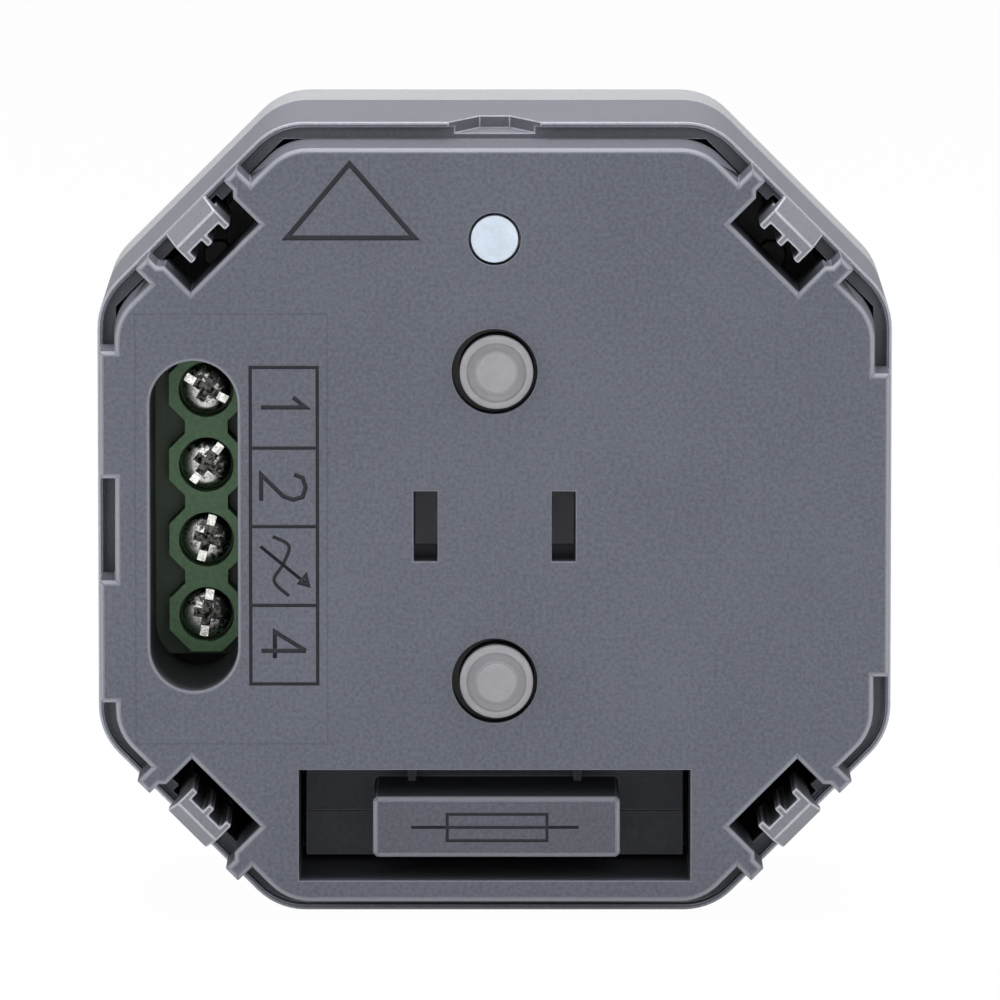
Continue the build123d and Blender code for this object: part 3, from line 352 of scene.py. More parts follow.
# Power board. Glass-fibre laminate 1.6 mm thick with dark green solder mask, milled to the
# cut-corner outline. It lies on posts of the rear cover and carries the mains parts.
def laminate(name, mask, trace):
    """Solder mask over woven glass: a fine weave, lighter lines where copper runs below it."""
    material, shader, place = new_finish(name)
    across, _, up = place.axes()
    thread_width, lane_pitch, track_length = 0.42 * mm, 0.9 * mm, 5.5 * mm
    weave_turn = math.pi / thread_width
    weave = (across * weave_turn).alone("SINE") * (up * weave_turn).alone("SINE")
    cells = {"Vector": place, "Scale": 1.0 / track_length, "Randomness": 0.5}
    patch = place.node("ShaderNodeTexVoronoi", {"distance": "CHEBYCHEV"}, cells, output=1)
    turn, present, _ = patch.axes()
    lane = 2 * math.pi / lane_pitch
    rows = (up * lane).alone("SINE").ramp(0.55, 0.7)
    columns = (across * lane).alone("SINE").ramp(0.55, 0.7)
    turned = turn.ramp(0.49, 0.51)
    copper = (rows * turned + columns * (1.0 - turned)) * present.ramp(0.39, 0.41)
    cloud = noise(place, 6 * mm, detail=3.0)
    ground = mix(place, cloud.ramp(0.3, 0.7, 0.0, 0.35) + weave * 0.08, mask, trace)
    plug(mix(place, copper * 0.8, ground, trace), shader, "Base Color")
    plug(noise(place, 1.2 * mm) * 0.2 + 0.26, shader, "Roughness")
    plug(bump(place, copper + weave * 0.1, 0.02 * mm, 0.5), shader, "Normal")
    return material


board_laminate = laminate("board_solder_mask", linear(16, 34, 24), linear(34, 62, 40))
dressed("power_board_laminate", "power_board", board_laminate, 0.06 * mm)


# Choke. A drum of dark sintered ferrite with enamelled copper wire wound round its neck, turn
# beside turn between the two flanges. Its wire ends go down through the board.
def speckled_stone(name, colour, grain=0.09 * mm, rough=0.55):
    """Sintered ferrite or moulded resin: dull, with a fine light grit and faint stains."""
    material, shader, place = new_finish(name)
    grit = noise(place, grain, detail=2.0, roughness=0.7)
    stain = noise(place, 2.5 * mm, detail=4.0)
    share = (grit * 0.6 + stain * 0.4).ramp(0.38, 0.66)
    skin = mix(place, share, shade(colour, 0.7), shade(colour, 1.7, lift=0.01))
    plug(skin, shader, "Base Color")
    plug(stain * 0.25 + (rough - 0.12), shader, "Roughness")
    plug(bump(place, grit + stain * 0.5, 0.015 * mm, 0.6), shader, "Normal")
    return material


def surface(name, points):
    """A smooth quad surface over rows of points, each row closed on itself."""
    rows, columns = points.shape[:2]
    mesh = bpy.data.meshes.new(name)
    faces = grid_faces(rows, columns, wrap_v=True)
    mesh.from_pydata(points.reshape(-1, 3).tolist(), [], faces)
    mesh.update()
    mesh.shade_smooth()
    return in_scene(name, mesh)


def wound(name, centre, radius, low, high, turns, wire):
    """A wire of round section on a helix: the radius stays, the height climbs with the angle."""
    steps_per_turn, sides = 40, 10
    angle = np.linspace(0, 2 * np.pi * turns, turns * steps_per_turn + 1)[:, None]
    around = np.linspace(0, 2 * np.pi, sides, endpoint=False)[None, :]
    out = radius + wire / 2 * np.cos(around)
    climb = (high - low - wire) * angle / angle.max()
    level = low + wire / 2 + climb + wire / 2 * np.sin(around)
    x = centre[0] + out * np.cos(angle)
    z = centre[1] + out * np.sin(angle)
    return surface(name, np.stack([x, -level, z], axis=-1))


ferrite = speckled_stone("sintered_ferrite", linear(52, 52, 56))
dressed("choke_drum", "choke_core", ferrite, 0.12 * mm)


def enamelled_wire(name):
    """Copper under clear enamel: lighter and darker streaks along the wire."""
    material, shader, place = new_finish(name)
    streak = noise(place, 0.5 * mm, detail=3.0)
    plug(mix(place, streak, linear(120, 52, 24), linear(205, 112, 62)), shader, "Base Color")
    plug(streak * 0.15 + 0.2, shader, "Roughness")
    plug(bump(place, noise(place, 0.15 * mm), 0.008 * mm), shader, "Normal")
    shader.inputs["Metallic"].default_value = 0.85
    shader.inputs["Coat Weight"].default_value = 0.4
    return material


copper = enamelled_wire("enamelled_copper")
choke_low, choke_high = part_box("choke_winding")
choke_wire, choke_turns = 0.5 * mm, 12
choke_middle = ((choke_low[0] + choke_high[0]) / 2, (choke_low[2] + choke_high[2]) / 2)
choke_reach = (choke_high[0] - choke_low[0]) / 2 - choke_wire / 2
foot, head = -choke_high[1], -choke_low[1]
choke_coil = wound("choke_coil", choke_middle, choke_reach, foot, head, choke_turns, choke_wire)
choke_coil.data.materials.append(copper)
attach(choke_coil, "module")
dressed("choke_inner_turns", "choke_winding", copper)

# Transformer. Two ferrite halves are glued round a bobbin whose windings lie under yellow
# polyester tape, with a fine ridge where each layer of tape ends.
dressed("transformer_halves", "transformer_core", ferrite, 0.15 * mm)


def layered_tape(name):
    """Polyester tape over windings: soft ridges of the wires below, and a cloudy tone."""
    material, shader, place = new_finish(name)
    wire_pitch = 0.34 * mm
    ridge = (place.axes()[1] * (2 * math.pi / wire_pitch)).alone("SINE")
    cloud = noise(place, 1.6 * mm, detail=4.0)
    skin = mix(place, cloud.ramp(0.3, 0.7) * 0.7, linear(150, 96, 28), linear(214, 156, 62))
    plug(skin, shader, "Base Color")
    plug(cloud * 0.15 + 0.22, shader, "Roughness")
    plug(bump(place, ridge * 0.5 + cloud, 0.03 * mm, 0.7), shader, "Normal")
    shader.inputs["Coat Weight"].default_value = 0.3
    return material


tape = layered_tape("transformer_tape")
dressed("transformer_coil", "transformer_winding", tape, 0.1 * mm)


# Varistor. A ceramic disc dipped in blue epoxy powder, which leaves a soft orange-peel skin
# that runs a little way down its two leads.
def dipped_resin(name, colour, wave=0.6 * mm):
    """A dipped coat: glossy, gently wavy, a little darker where it is thin."""
    material, shader, place = new_finish(name)
    swell = noise(place, wave, detail=2.0)
    plug(mix(place, swell.ramp(0.3, 0.7), shade(colour, 0.65), colour), shader, "Base Color")
    plug(noise(place, wave / 3) * 0.15 + 0.2, shader, "Roughness")
    plug(bump(place, swell, 0.05 * mm, 0.6), shader, "Normal")
    return material


varistor_coat = dipped_resin("varistor_epoxy", linear(28, 74, 150))
dressed("varistor_disc", "varistor", varistor_coat, 0.2 * mm)

# Interference capacitor. A film capacitor in a grey moulded box, filled with resin from below.
# It stands on two pins beside the transformer.
film_box = eroded_plastic("capacitor_box", linear(120, 124, 126), rough=0.4)
dressed("film_capacitor", "interference_capacitor", film_box, 0.2 * mm)


# Electrolytic capacitor. An aluminium can in a black shrunk sleeve with a pale stripe on the
# minus side. The bare top shows the metal inside the rolled edge.
def sleeved_can(name, box):
    """Black sleeve, a pale stripe on one side, bare metal on the top inside the sleeve's edge."""
    low, high = box
    material, shader, place = new_finish(name)
    across, deep, up = place.axes()
    x = across - (low[0] + high[0]) / 2
    z = up - (low[2] + high[2]) / 2
    away = (x * x + z * z).alone("SQRT")
    bare_depth, bare_radius, stripe_half, stripe_from = 0.25 * mm, 3.3 * mm, 0.8 * mm, 2.0 * mm
    top = (low[1] + bare_depth - deep).ramp(-0.02 * mm, 0.02 * mm)
    top = top * (1.0 - away.ramp(bare_radius, bare_radius + 0.04 * mm))
    stripe = (stripe_half - z.alone("ABSOLUTE")).ramp(0.0, 0.02 * mm)
    stripe = stripe * x.ramp(stripe_from, stripe_from + 0.05 * mm)
    scuff = noise(place, 0.7 * mm, detail=4.0)
    sleeve = mix(place, scuff * 0.5, linear(20, 20, 24), linear(40, 40, 46))
    sleeve = mix(place, stripe, sleeve, linear(176, 180, 184))
    plug(mix(place, top, sleeve, linear(202, 203, 206)), shader, "Base Color")
    plug(top, shader, "Metallic")
    plug(scuff * 0.2 + 0.24, shader, "Roughness")
    plug(bump(place, scuff, 0.01 * mm, 0.6), shader, "Normal")
    return material


can_finish = sleeved_can("electrolytic_sleeve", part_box("electrolytic_capacitor"))
dressed("electrolytic_can", "electrolytic_capacitor", can_finish, 0.25 * mm, 3)

# Bridge rectifier and power transistors. Black epoxy bodies, moulded over copper frames and
# ground flat. The transistors are screwed to an aluminium sheet that spreads their heat.
epoxy = speckled_stone("black_epoxy", linear(24, 24, 26), grain=0.05 * mm, rough=0.5)
dressed("rectifier_body", "bridge_rectifier", epoxy, 0.12 * mm)
dressed("transistor_bodies", "power_transistors", epoxy, 0.12 * mm)


def rolled_metal(name, colour, rough, along=(1, 1, 0.08), grain=0.5 * mm):
    """Rolled or plated sheet: fine lines along the rolling direction and faint stains."""
    material, shader, place = new_finish(name)
    drawn = place.node("ShaderNodeVectorMath", {"operation": "MULTIPLY"}, {0: place, 1: along})
    lines = noise(drawn, grain * 0.12, detail=3.0, roughness=0.6)
    cloud = noise(place, 4 * grain, detail=4.0)
    share = (lines * 0.4 + cloud * 0.6).ramp(0.3, 0.62)
    plug(mix(place, share, shade(colour, 0.64), colour), shader, "Base Color")
    plug((lines * 0.22 + cloud * 0.16) + (rough - 0.19), shader, "Roughness")
    plug(bump(place, lines, 0.006 * mm, 0.6), shader, "Normal")
    shader.inputs["Metallic"].default_value = 1.0
    return material


aluminium = rolled_metal("brushed_aluminium", linear(206, 208, 212), rough=0.36)
dressed("heat_spreader_sheet", "heat_spreader", aluminium, 0.15 * mm)

# Housing body. The dark grey wall with the rim that lies on the support frame, moulded in
# glass-filled plastic. It snaps over the rear cover, and the front cover drops into it.
# The housing's grey is paler than the front cover's, though both are one plastic: painted light for
# its top wall, lit from above. Its bevels are paler still, a painted highlight along the edges.
housing_lit_plastic = eroded_plastic("housing_lit_plastic", linear(99, 101, 110), rough=0.5)
housing_edge_highlight = eroded_plastic("housing_edge_highlight", linear(160, 162, 172), rough=0.34)
dressed("housing_wall", "housing_body", housing_lit_plastic, 0.07 * mm, edge_highlight=housing_edge_highlight)

# Terminal block. Dark green nylon, moulded with four round towers that guide the screws and a
# low web between them. It is pressed over the contact bars and soldered with them.
# Below the tower tops the nylon is painted darker with depth, down to a dark green: painted shade.
tower_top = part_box("terminal_block")[0][1]
tower_painted_shade = (tower_top + 0.1 * mm, tower_top + 2.6 * mm, linear(54, 72, 54))
tower_green = linear(112, 158, 112)
block_nylon = eroded_plastic("terminal_nylon", tower_green, 0.18 * mm, 0.36, 0.14, tower_painted_shade)
dressed("terminal_towers", "terminal_block", block_nylon, 0.1 * mm, 3)

# Contact bars and clamp cages. Tinned brass strip, stamped and folded. Each cage is pulled up
# against its bar by the screw, and so grips the wire's end.
tinned = rolled_metal("tinned_brass", linear(196, 196, 190), rough=0.34, along=(1, 0.08, 1))
dressed("contact_strips", "contact_bars", tinned, 0.05 * mm)
terminals = (1, 2, 3, 4)
for number in terminals:
    dressed(f"cage_strip_{number}", f"clamp_cage_{number}", tinned, 0.06 * mm)


# Terminal screws. Zinc-plated steel, cold-headed, with a slot and a cross pressed into a
# slightly domed head. The thread below runs in the clamp cage.
def turned_screw(name, middle, front):
    """A screw turned round the y axis from a table of radii along its length.

    Below the head the radius swings between root and crest of the thread with the angle less the
    turns that the depth has made, so the crest climbs by one pitch in each turn. Each row of the
    table is a radius and a depth in millimetres.
    """
    dome = [(0.0, 0.0), (0.5, 0.005), (0.9, 0.03), (1.2, 0.075), (1.42, 0.15), (1.55, 0.27)]
    rim_and_neck = [(1.6, 0.45), (1.6, 1.5), (1.5, 1.6), (1.16, 1.6)]
    tip = [(0.9, 5.05), (0.5, 5.06), (0.0, 5.06)]
    pitch, pitch_radius, thread_height, thread_rows, sides = 0.45, 1.09, 0.16, 75, 48
    depth = np.linspace(1.62, 4.95, thread_rows)
    thread = np.column_stack([np.full(thread_rows, pitch_radius), depth])
    profile = np.concatenate([dome, rim_and_neck, thread, tip])
    angle = np.linspace(0, 2 * np.pi, sides, endpoint=False)[None, :]
    radius, level = profile[:, :1], profile[:, 1:]
    turn = (level / pitch - angle / (2 * np.pi)) % 1.0
    threaded = radius == pitch_radius
    swing = np.abs(turn - 0.5) * 2 * thread_height - thread_height / 2
    radius = radius + threaded * swing
    x = middle[0] + radius * mm * np.cos(angle)
    z = middle[1] + radius * mm * np.sin(angle)
    y = front + level * mm + 0 * angle
    screw = surface(name, np.stack([x, y, z], axis=-1))
    weld = 0.0005 * mm
    shape = bmesh.new()
    shape.from_mesh(screw.data)
    bmesh.ops.remove_doubles(shape, verts=shape.verts, dist=weld)
    bmesh.ops.recalc_face_normals(shape, faces=shape.faces)
    shape.to_mesh(screw.data)
    shape.free()
    return screw


def mottled_steel(name, dark, light, rough=0.3, lean=0.0):
    """Plated steel, mottled: bright islands on a dark ground.

    With a lean, each head has more of them towards its lower left: a painted highlight.
    """
    material, shader, place = new_finish(name)
    film = noise(place, 0.35 * mm, detail=5.0, roughness=0.65)
    across, _, up = place.axes()
    screw_pitch, screws_left = 5 * mm, 19.1 * mm
    row = ((up / screw_pitch).alone("FLOOR") + 0.5) * screw_pitch
    # The lean shifts the bright islands towards each head's lower left: a painted highlight.
    film = film - ((across + screws_left) * 0.8 + (up - row) * 0.6) * (lean / mm)
    plug(mix(place, film.ramp(0.4, 0.58), dark, light), shader, "Base Color")
    plug(noise(place, 0.2 * mm) * 0.2 + (rough - 0.1), shader, "Roughness")
    plug(bump(place, film, 0.02 * mm, 0.6), shader, "Normal")
    shader.inputs["Metallic"].default_value = 1.0
    return material


# One steel in three tones: the heads with their painted highlight, the slot walls painted far
# paler, a painted highlight, and the cross recess painted far darker, a painted shade.
head_steel = mottled_steel("screw_head_steel", linear(64, 64, 64), linear(236, 236, 232), lean=0.12)
slot_highlight_steel = mottled_steel("screw_slot_highlight_steel", linear(196, 196, 192), linear(244, 244, 240), 0.24)
recess_shade_steel = mottled_steel("screw_recess_shade_steel", linear(20, 20, 21), linear(120, 120, 116), 0.4)
head_turns = (-30, 53, 75, 82)
slot_width, slot_reach, slot_depth, above_head = 0.56 * mm, 1.75, 0.4 * mm, 0.3 * mm
cross_arms = ((0.62, 0.88, 0.55), (0.46, 0.66, 0.95))  # width, reach and depth in millimetres
for number, turn in zip(terminals, head_turns):
    low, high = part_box(f"terminal_screw_{number}")
    front = low[1]
    middle = ((low[0] + high[0]) / 2, (low[2] + high[2]) / 2)
    screw = turned_screw(f"screw_body_{number}", middle, front)
    screw.data.materials.append(head_steel)
    along = np.array([math.cos(math.radians(turn)), math.sin(math.radians(turn))])
    beside = np.array([-along[1], along[0]])
    centre = np.array(middle) / mm
    slot_line = [centre - slot_reach * along, centre + slot_reach * along]
    slot_strip = stroke(slot_line, slot_width, front - above_head, front + slot_depth)
    engrave(screw, [slot_strip], slot_highlight_steel)
    arms = []
    for step, arm in enumerate((along, beside)):
        for width, reach, deep in cross_arms:
            line = [centre - reach * arm, centre + reach * arm]
            floor_y = front + (deep + 0.003 * step) * mm
            arms.append(stroke(line, width * mm, front - above_head, floor_y))
    engrave(screw, arms, recess_shade_steel, 0.05 * mm)
    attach(screw, f"screw_{number}")
    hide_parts(f"terminal_screw_{number}")

# Control board. The same laminate, 1.0 mm thick, milled away round the corner pockets and the
# terminals. It stands on the housing's posts and carries everything that works at low voltage.
dressed("control_board_laminate", "control_board", board_laminate, 0.05 * mm)

# Radio board and its shield. The small board is soldered flat to the control board, and the
# tinned can over it is drawn from one sheet and soldered along its edge.
dressed("radio_board_laminate", "radio_board", board_laminate, 0.05 * mm)
can_metal = rolled_metal("shield_tinplate", linear(188, 190, 190), rough=0.3)
dressed("radio_can", "radio_shield", can_metal, 0.12 * mm, 3)

# Microcontroller, tact switches, their plungers and the pin header. Black moulded parts, each
# soldered to the control board; the header's pins reach down to the power board.
dressed("microcontroller_body", "microcontroller", epoxy, 0.06 * mm)
black_nylon = eroded_plastic("black_nylon", linear(34, 34, 37), rough=0.45)
for place_name in ("upper", "lower"):
    dressed(f"switch_body_{place_name}", f"tact_switch_{place_name}", black_nylon, 0.1 * mm)
    dressed(f"switch_plunger_{place_name}", f"tact_plunger_{place_name}", black_nylon, 0.1 * mm)
dressed("header_body", "pin_header", black_nylon, 0.06 * mm)


# Status lamp and light guide. The lamp is a tiny clear block on the board. The guide is milky
# polycarbonate, pressed into the front cover, and ends flush with the face.
def milky(name, colour, depth=0.6 * mm, rough=0.3, depth_shade=None):
    """Translucent moulding: light scatters under the skin, with soft clouds and a fine grain."""
    material, shader, place = new_finish(name)
    cloud = noise(place, 1.3 * mm, detail=3.0)
    grain = noise(place, 0.12 * mm, detail=2.0)
    skin = mix(place, (cloud * 0.6 + grain * 0.4).ramp(0.35, 0.65), shade(colour, 0.88), colour)
    # The colour may be painted darker further back in y: painted shade.
    plug(shaded_by_depth(place, skin, depth_shade), shader, "Base Color")
    plug(grain * 0.14 + (rough - 0.07), shader, "Roughness")
    plug(bump(place, grain, 0.012 * mm, 0.6), shader, "Normal")
    shader.inputs["Subsurface Weight"].default_value = 0.35
    shader.inputs["Subsurface Scale"].default_value = depth
    shader.inputs["Subsurface Radius"].default_value = (1.0, 0.95, 0.9)
    return material


milky_white = milky("light_guide_milky", linear(204, 216, 229))
dressed("status_lamp", "status_led", milky_white, 0.05 * mm)
dressed("light_guide_body", "light_guide", milky_white, 0.08 * mm, 3)


# Button caps. Translucent grey plastic mouldings with a raised middle, a shallow ring dish
# round it and a soft rim. Each slides in its collar and presses the tact switch below.
def ring_dish(middle, radius, half_width, level, half_depth):
    """A ring of oval section: radius plus width times cosine, level plus depth times sine."""
    rows, columns = 72, 20
    angle = np.linspace(0, 2 * np.pi, rows, endpoint=False)[:, None]
    around = np.linspace(0, 2 * np.pi, columns, endpoint=False)[None, :]
    out = radius + half_width * np.cos(around)
    x = middle[0] + out * np.cos(angle)
    z = middle[1] + out * np.sin(angle)
    y = level + half_depth * np.sin(around) + 0 * angle
    faces = grid_faces(rows, columns, wrap_u=True, wrap_v=True)
    return np.stack([x, y, z], axis=-1).reshape(-1, 3), faces


# Further back the cap is painted nearly black, a painted shade in the gap round it, and its ring
# dish gets a darker copy of the cap's plastic, a painted shade in the dish.
cap_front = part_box("button_cap_upper")[0][1]
cap_painted_shade = (cap_front + 0.9 * mm, cap_front + 1.6 * mm, linear(26, 26, 28))
cap_plastic = milky("button_cap_plastic", linear(152, 151, 156), 0.3 * mm, 0.4, cap_painted_shade)
cap_dish_shade = milky("button_dish_shade", linear(140, 139, 144), 0.3 * mm, 0.4)
for place_name in ("upper", "lower"):
    cap = dressed(f"button_{place_name}", f"button_cap_{place_name}", cap_plastic, 0.1 * mm, 3)
    low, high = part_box(f"button_cap_{place_name}")
    middle = ((low[0] + high[0]) / 2, (low[2] + high[2]) / 2)
    dish_level = low[1] + 0.4 * mm
    dish = ring_dish(middle, 1.68 * mm, 0.27 * mm, dish_level, 0.1 * mm)
    engrave(cap, [dish], cap_dish_shade)


# Front cover. One moulding in the housing's plastic, with a fine eroded face. Its pockets,
# slots and fuse well go deep behind the face, and its signs are engraved 0.2 mm into it.
def shaded_plastic(name, colour, shadow_colour, box):
    """Eroded plastic with painted shade, darker on the walls and floors behind the face.

    The sides of the raised face are painted a little darker, painted shade, and the gaps round the
    buttons nearly black, a painted shadow. Deep in the terminal slots it is painted pale, painted
    light. The rim of each opening is painted pale, a painted highlight, and a faint witness line
    runs round the tool's insert at the terminals.
    """
    low, high = box
    material, shader, place = new_finish(name)
    across, deep, up = place.axes()
    wide, tall = across.alone("ABSOLUTE"), up.alone("ABSOLUTE")
    side_wall, corner_cut = 1.2 * mm, 37.6 * mm
    inside = (high[0] - side_wall - wide).ramp(0.0, 0.1 * mm)
    inside = inside * (high[2] - side_wall - tall).ramp(0.0, 0.1 * mm)
    inside = inside * (corner_cut - wide - tall).ramp(0.0, 0.3 * mm)
    depth = deep - low[1]
    # Painted shade: walls and floors behind the face darken with depth, the outer sides a little.
    side_shade = (1.0 - inside) * depth.ramp(0.3 * mm, 0.7 * mm) * 0.35
    shadow = depth.ramp(0.15 * mm, 2.6 * mm) * inside + side_shade
    # Deep in the terminal slots the colour is painted pale: painted light on their floors.
    slot_x, slot_half_width, slot_half_height = 4.5 * mm, 1.3 * mm, 2.8 * mm
    from_slot = (wide - slot_x).alone("ABSOLUTE")
    painted_shaft_light = (slot_half_width - from_slot).ramp(0.0, 0.1 * mm)
    painted_shaft_light = painted_shaft_light * (slot_half_height - tall).ramp(0.0, 0.1 * mm)
    painted_shaft_light = painted_shaft_light * depth.ramp(2.0 * mm, 8.5 * mm)
    pits = noise(place, 0.12 * mm, detail=3.0, roughness=0.6)
    speckle = noise(place, 0.26 * mm, detail=1.0)
    cloud = noise(place, 9 * mm, detail=3.0)
    share = (speckle * 0.5 + pits * 0.3 + cloud * 0.2).ramp(0.33, 0.67)
    skin = mix(place, share, shade(colour, 0.8), shade(colour, 1.2))
    skin = mix(place, shadow, skin, shadow_colour)
    skin = mix(place, painted_shaft_light, skin, linear(196, 197, 204))
    # The gap round each button is painted nearly black: a painted shadow.
    button_x, button_z, collar_radius = 0.12 * mm, 10.14 * mm, 3.2 * mm
    beside, above = across - button_x, tall - button_z
    from_button = (beside * beside + above * above).alone("SQRT")
    collar = (collar_radius - from_button).ramp(0.0, 0.05 * mm) * depth.ramp(0.25 * mm, 0.6 * mm)
    skin = mix(place, collar, skin, linear(14, 14, 15))
    # The rim of each opening is painted pale: a painted highlight.
    lip_highlight = depth.ramp(0.01 * mm, 0.04 * mm) * (0.3 * mm - depth).ramp(0.0, 0.04 * mm)
    skin = mix(place, lip_highlight * 0.65, skin, linear(158, 160, 168))
    insert_left, insert_down, insert_half = 17.15 * mm, 0.2 * mm, (6.25 * mm, 14.1 * mm)
    off_x = (across + insert_left).alone("ABSOLUTE") - insert_half[0]
    off_z = (up + insert_down).alone("ABSOLUTE") - insert_half[1]
    off = off_x.math("MAXIMUM", off_x, off_z).alone("ABSOLUTE")
    witness = (0.07 * mm - off).ramp(0.0, 0.04 * mm) * (0.2 * mm - depth).ramp(0.0, 0.1 * mm)
    plug(mix(place, witness * 0.22, skin, linear(30, 31, 34)), shader, "Base Color")
    plug(pits * 0.16 + cloud * 0.08 + shadow * 0.1 + 0.4, shader, "Roughness")
    plug(bump(place, pits - witness * 0.5, 0.022 * mm, 0.7), shader, "Normal")
    shader.inputs["Specular IOR Level"].default_value = 0.42
    return material


def flowing(points, steps=8):
    """A smooth line through points: each span is the cubic whose slopes follow the neighbours."""
    knots = np.array([points[0], *points, points[-1]], dtype=float)
    share = np.linspace(0, 1, steps, endpoint=False)[None, :, None]
    a, b, c, d = (knots[i : len(knots) - 3 + i][:, None, :] for i in range(4))
    curve = b + 0.5 * share * (c - a) + share**2 * (a - 2.5 * b + 2 * c - 0.5 * d)
    curve = curve + share**3 * (1.5 * (b - c) + 0.5 * (d - a))
    return np.concatenate([curve.reshape(-1, 2), knots[-1:]])


cover_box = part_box("front_cover")
# The pocket grey is painted shade behind the face; the bevels get a paler copy of the plastic, a
# painted highlight along the edges.
cover_grey, pocket_shadow_grey = linear(87, 90, 101), linear(60, 62, 68)
cover_plastic = shaded_plastic("front_cover_plastic", cover_grey, pocket_shadow_grey, cover_box)
cover_edge_highlight = eroded_plastic("cover_edge_highlight", linear(116, 118, 128), rough=0.36)
cover = dressed("cover_moulding", "front_cover", cover_plastic, 0.06 * mm, edge_highlight=cover_edge_highlight)
face = cover_box[0][1]
groove_top, groove_floor = face - 0.2 * mm, face + 0.2 * mm
fine, bold = 0.22 * mm, 0.33 * mm
apart = 0.001 * mm  # floors that cross lie a micrometre apart, for a clean cut
arrow_up = [(-9.42, 23.72), (-13.5, 18.88), (-5.2, 18.88)]
cell_left, cell_right, cell_top, cell_bottom = -15.9, -11.54, 10.42, -10.34
cells = [(cell_left, cell_top), (cell_right, cell_top)]
cells += [(cell_right, cell_bottom), (cell_left, cell_bottom)]
cell_middles = {1: 7.8, 2: 2.56, 4: -7.78}
figure_shapes = {
    1: [[(0.12, 0.72), (0.5, 1.0), (0.5, 0.0)]],
    2: [[(0.02, 0.74), (0.14, 0.93), (0.5, 1.0), (0.86, 0.93), (0.96, 0.72), (0.84, 0.5),
         (0.02, 0.0), (1.0, 0.0)]],
    4: [[(0.72, 1.0), (0.0, 0.3), (1.0, 0.3)], [(0.72, 0.0), (0.72, 1.0)]],
}
figure_foot, figure_height, figure_width = -15.2, 2.9, 1.75
strips = [stroke(arrow_up, bold, groove_top, groove_floor, closed=True)]
strips.append(stroke(cells, fine, groove_top, groove_floor, closed=True))
for divider in (5.14, -0.01, -5.18):
    line = [(cell_left, divider), (cell_right, divider)]
    strips.append(stroke(line, fine, groove_top, groove_floor + apart))
for figure, middle in cell_middles.items():
    for order, line in enumerate(figure_shapes[figure]):
        u, v = np.array(line).T
        across, up = figure_foot + figure_height * v, middle + figure_width * (0.5 - u)
        turned = np.stack([across, up], axis=1)
        strips.append(stroke(turned, bold * 0.85, groove_top, groove_floor + order * apart))
wave = flowing([(-14.45, -0.66), (-13.4, -1.28), (-13.78, -2.46), (-14.37, -3.57), (-13.4, -4.56)])
strips.append(stroke(wave, fine, groove_top, groove_floor))
arrow_shaft = [(-15.26, -1.31), (-12.25, -3.78)]
strips.append(stroke(arrow_shaft, fine, groove_top, groove_floor + apart))
arrow_head = [(-12.13, -3.88), (-12.72, -3.72), (-12.3, -3.2)]
strips.append(stroke(arrow_head, fine, groove_top, groove_floor + 2 * apart, closed=True))
# The walls of the engraved signs get a dark copy of the plastic: painted shade in the grooves.
groove_shade = eroded_plastic("engraved_groove_shade", linear(40, 42, 50), rough=0.6)
engrave(cover, strips, groove_shade)

# Snap hooks. Four springy arms of the same plastic, at the cut corners, with saw teeth that
# hold the support frame. They bend inwards when the module is pushed in.
# The arms are painted paler than the cover, though one plastic, painted light on their lit faces,
# and their bevels paler still, a painted highlight along the edges.
hook_lit_plastic = eroded_plastic("hook_lit_plastic", linear(116, 118, 126), rough=0.44)
hook_edge_highlight = eroded_plastic("hook_edge_highlight", linear(172, 173, 180), rough=0.34)
hook_round = 0.12 * mm
for corner in ("upper_right", "upper_left", "lower_left", "lower_right"):
    arm, node = f"hook_arm_{corner}", f"snap_hook_{corner}"
    dressed(arm, node, hook_lit_plastic, hook_round, 3, edge_highlight=hook_edge_highlight)


# Fuse carrier, fuse and clips. The drawer is the housing's plastic with a knob to pull it by.
# It holds a glass tube fuse with nickelled caps, which springs into two tinned clips.
def clear_glass(name):
    """Drawn glass: clear, with faint draw lines in its roughness."""
    material, shader, place = new_finish(name)
    lines = noise(place, 0.8 * mm, detail=3.0)
    plug(mix(place, lines, linear(236, 244, 240), linear(250, 252, 251)), shader, "Base Color")
    plug(lines * 0.06 + 0.02, shader, "Roughness")
    shader.inputs["Transmission Weight"].default_value = 1.0
    shader.inputs["IOR"].default_value = 1.47
    return material


dressed("fuse_tube", "fuse_glass", clear_glass("fuse_tube_glass"))
nickel = rolled_metal("nickel_plate", linear(206, 202, 190), rough=0.2, along=(0.08, 1, 1))
dressed("fuse_end_caps", "fuse_caps", nickel, 0.12 * mm, 3)
dressed("fuse_element", "fuse_wire", nickel)
dressed("fuse_springs", "fuse_clips", tinned, 0.05 * mm)
carrier_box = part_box("fuse_carrier")
# The drawer is painted a little darker than the cover, painted shade as its knob sits back from the
# face, and darker again behind its face, painted shade; its bevels get the painted highlight.
carrier_shaded_grey, carrier_shadow_grey = linear(78, 81, 91), linear(74, 76, 82)
carrier_shaded_plastic = shaded_plastic("carrier_shaded_plastic", carrier_shaded_grey, carrier_shadow_grey, carrier_box)
drawer, edge_round = "fuse_drawer_moulding", 0.06 * mm
carrier = dressed(drawer, "fuse_carrier", carrier_shaded_plastic, edge_round, edge_highlight=cover_edge_highlight)
knob_face = carrier_box[0][1]
knob_top, knob_floor, sign_line = knob_face - 0.2 * mm, knob_face + 0.18 * mm, 0.2 * mm
fuse_line = [(-5.45, -19.84), (5.5, -19.84)]
fuse_outline = [(-3.1, -18.98), (3.42, -18.98), (3.42, -20.72), (-3.1, -20.72)]
fuse_strips = [stroke(fuse_line, sign_line, knob_top, knob_floor)]
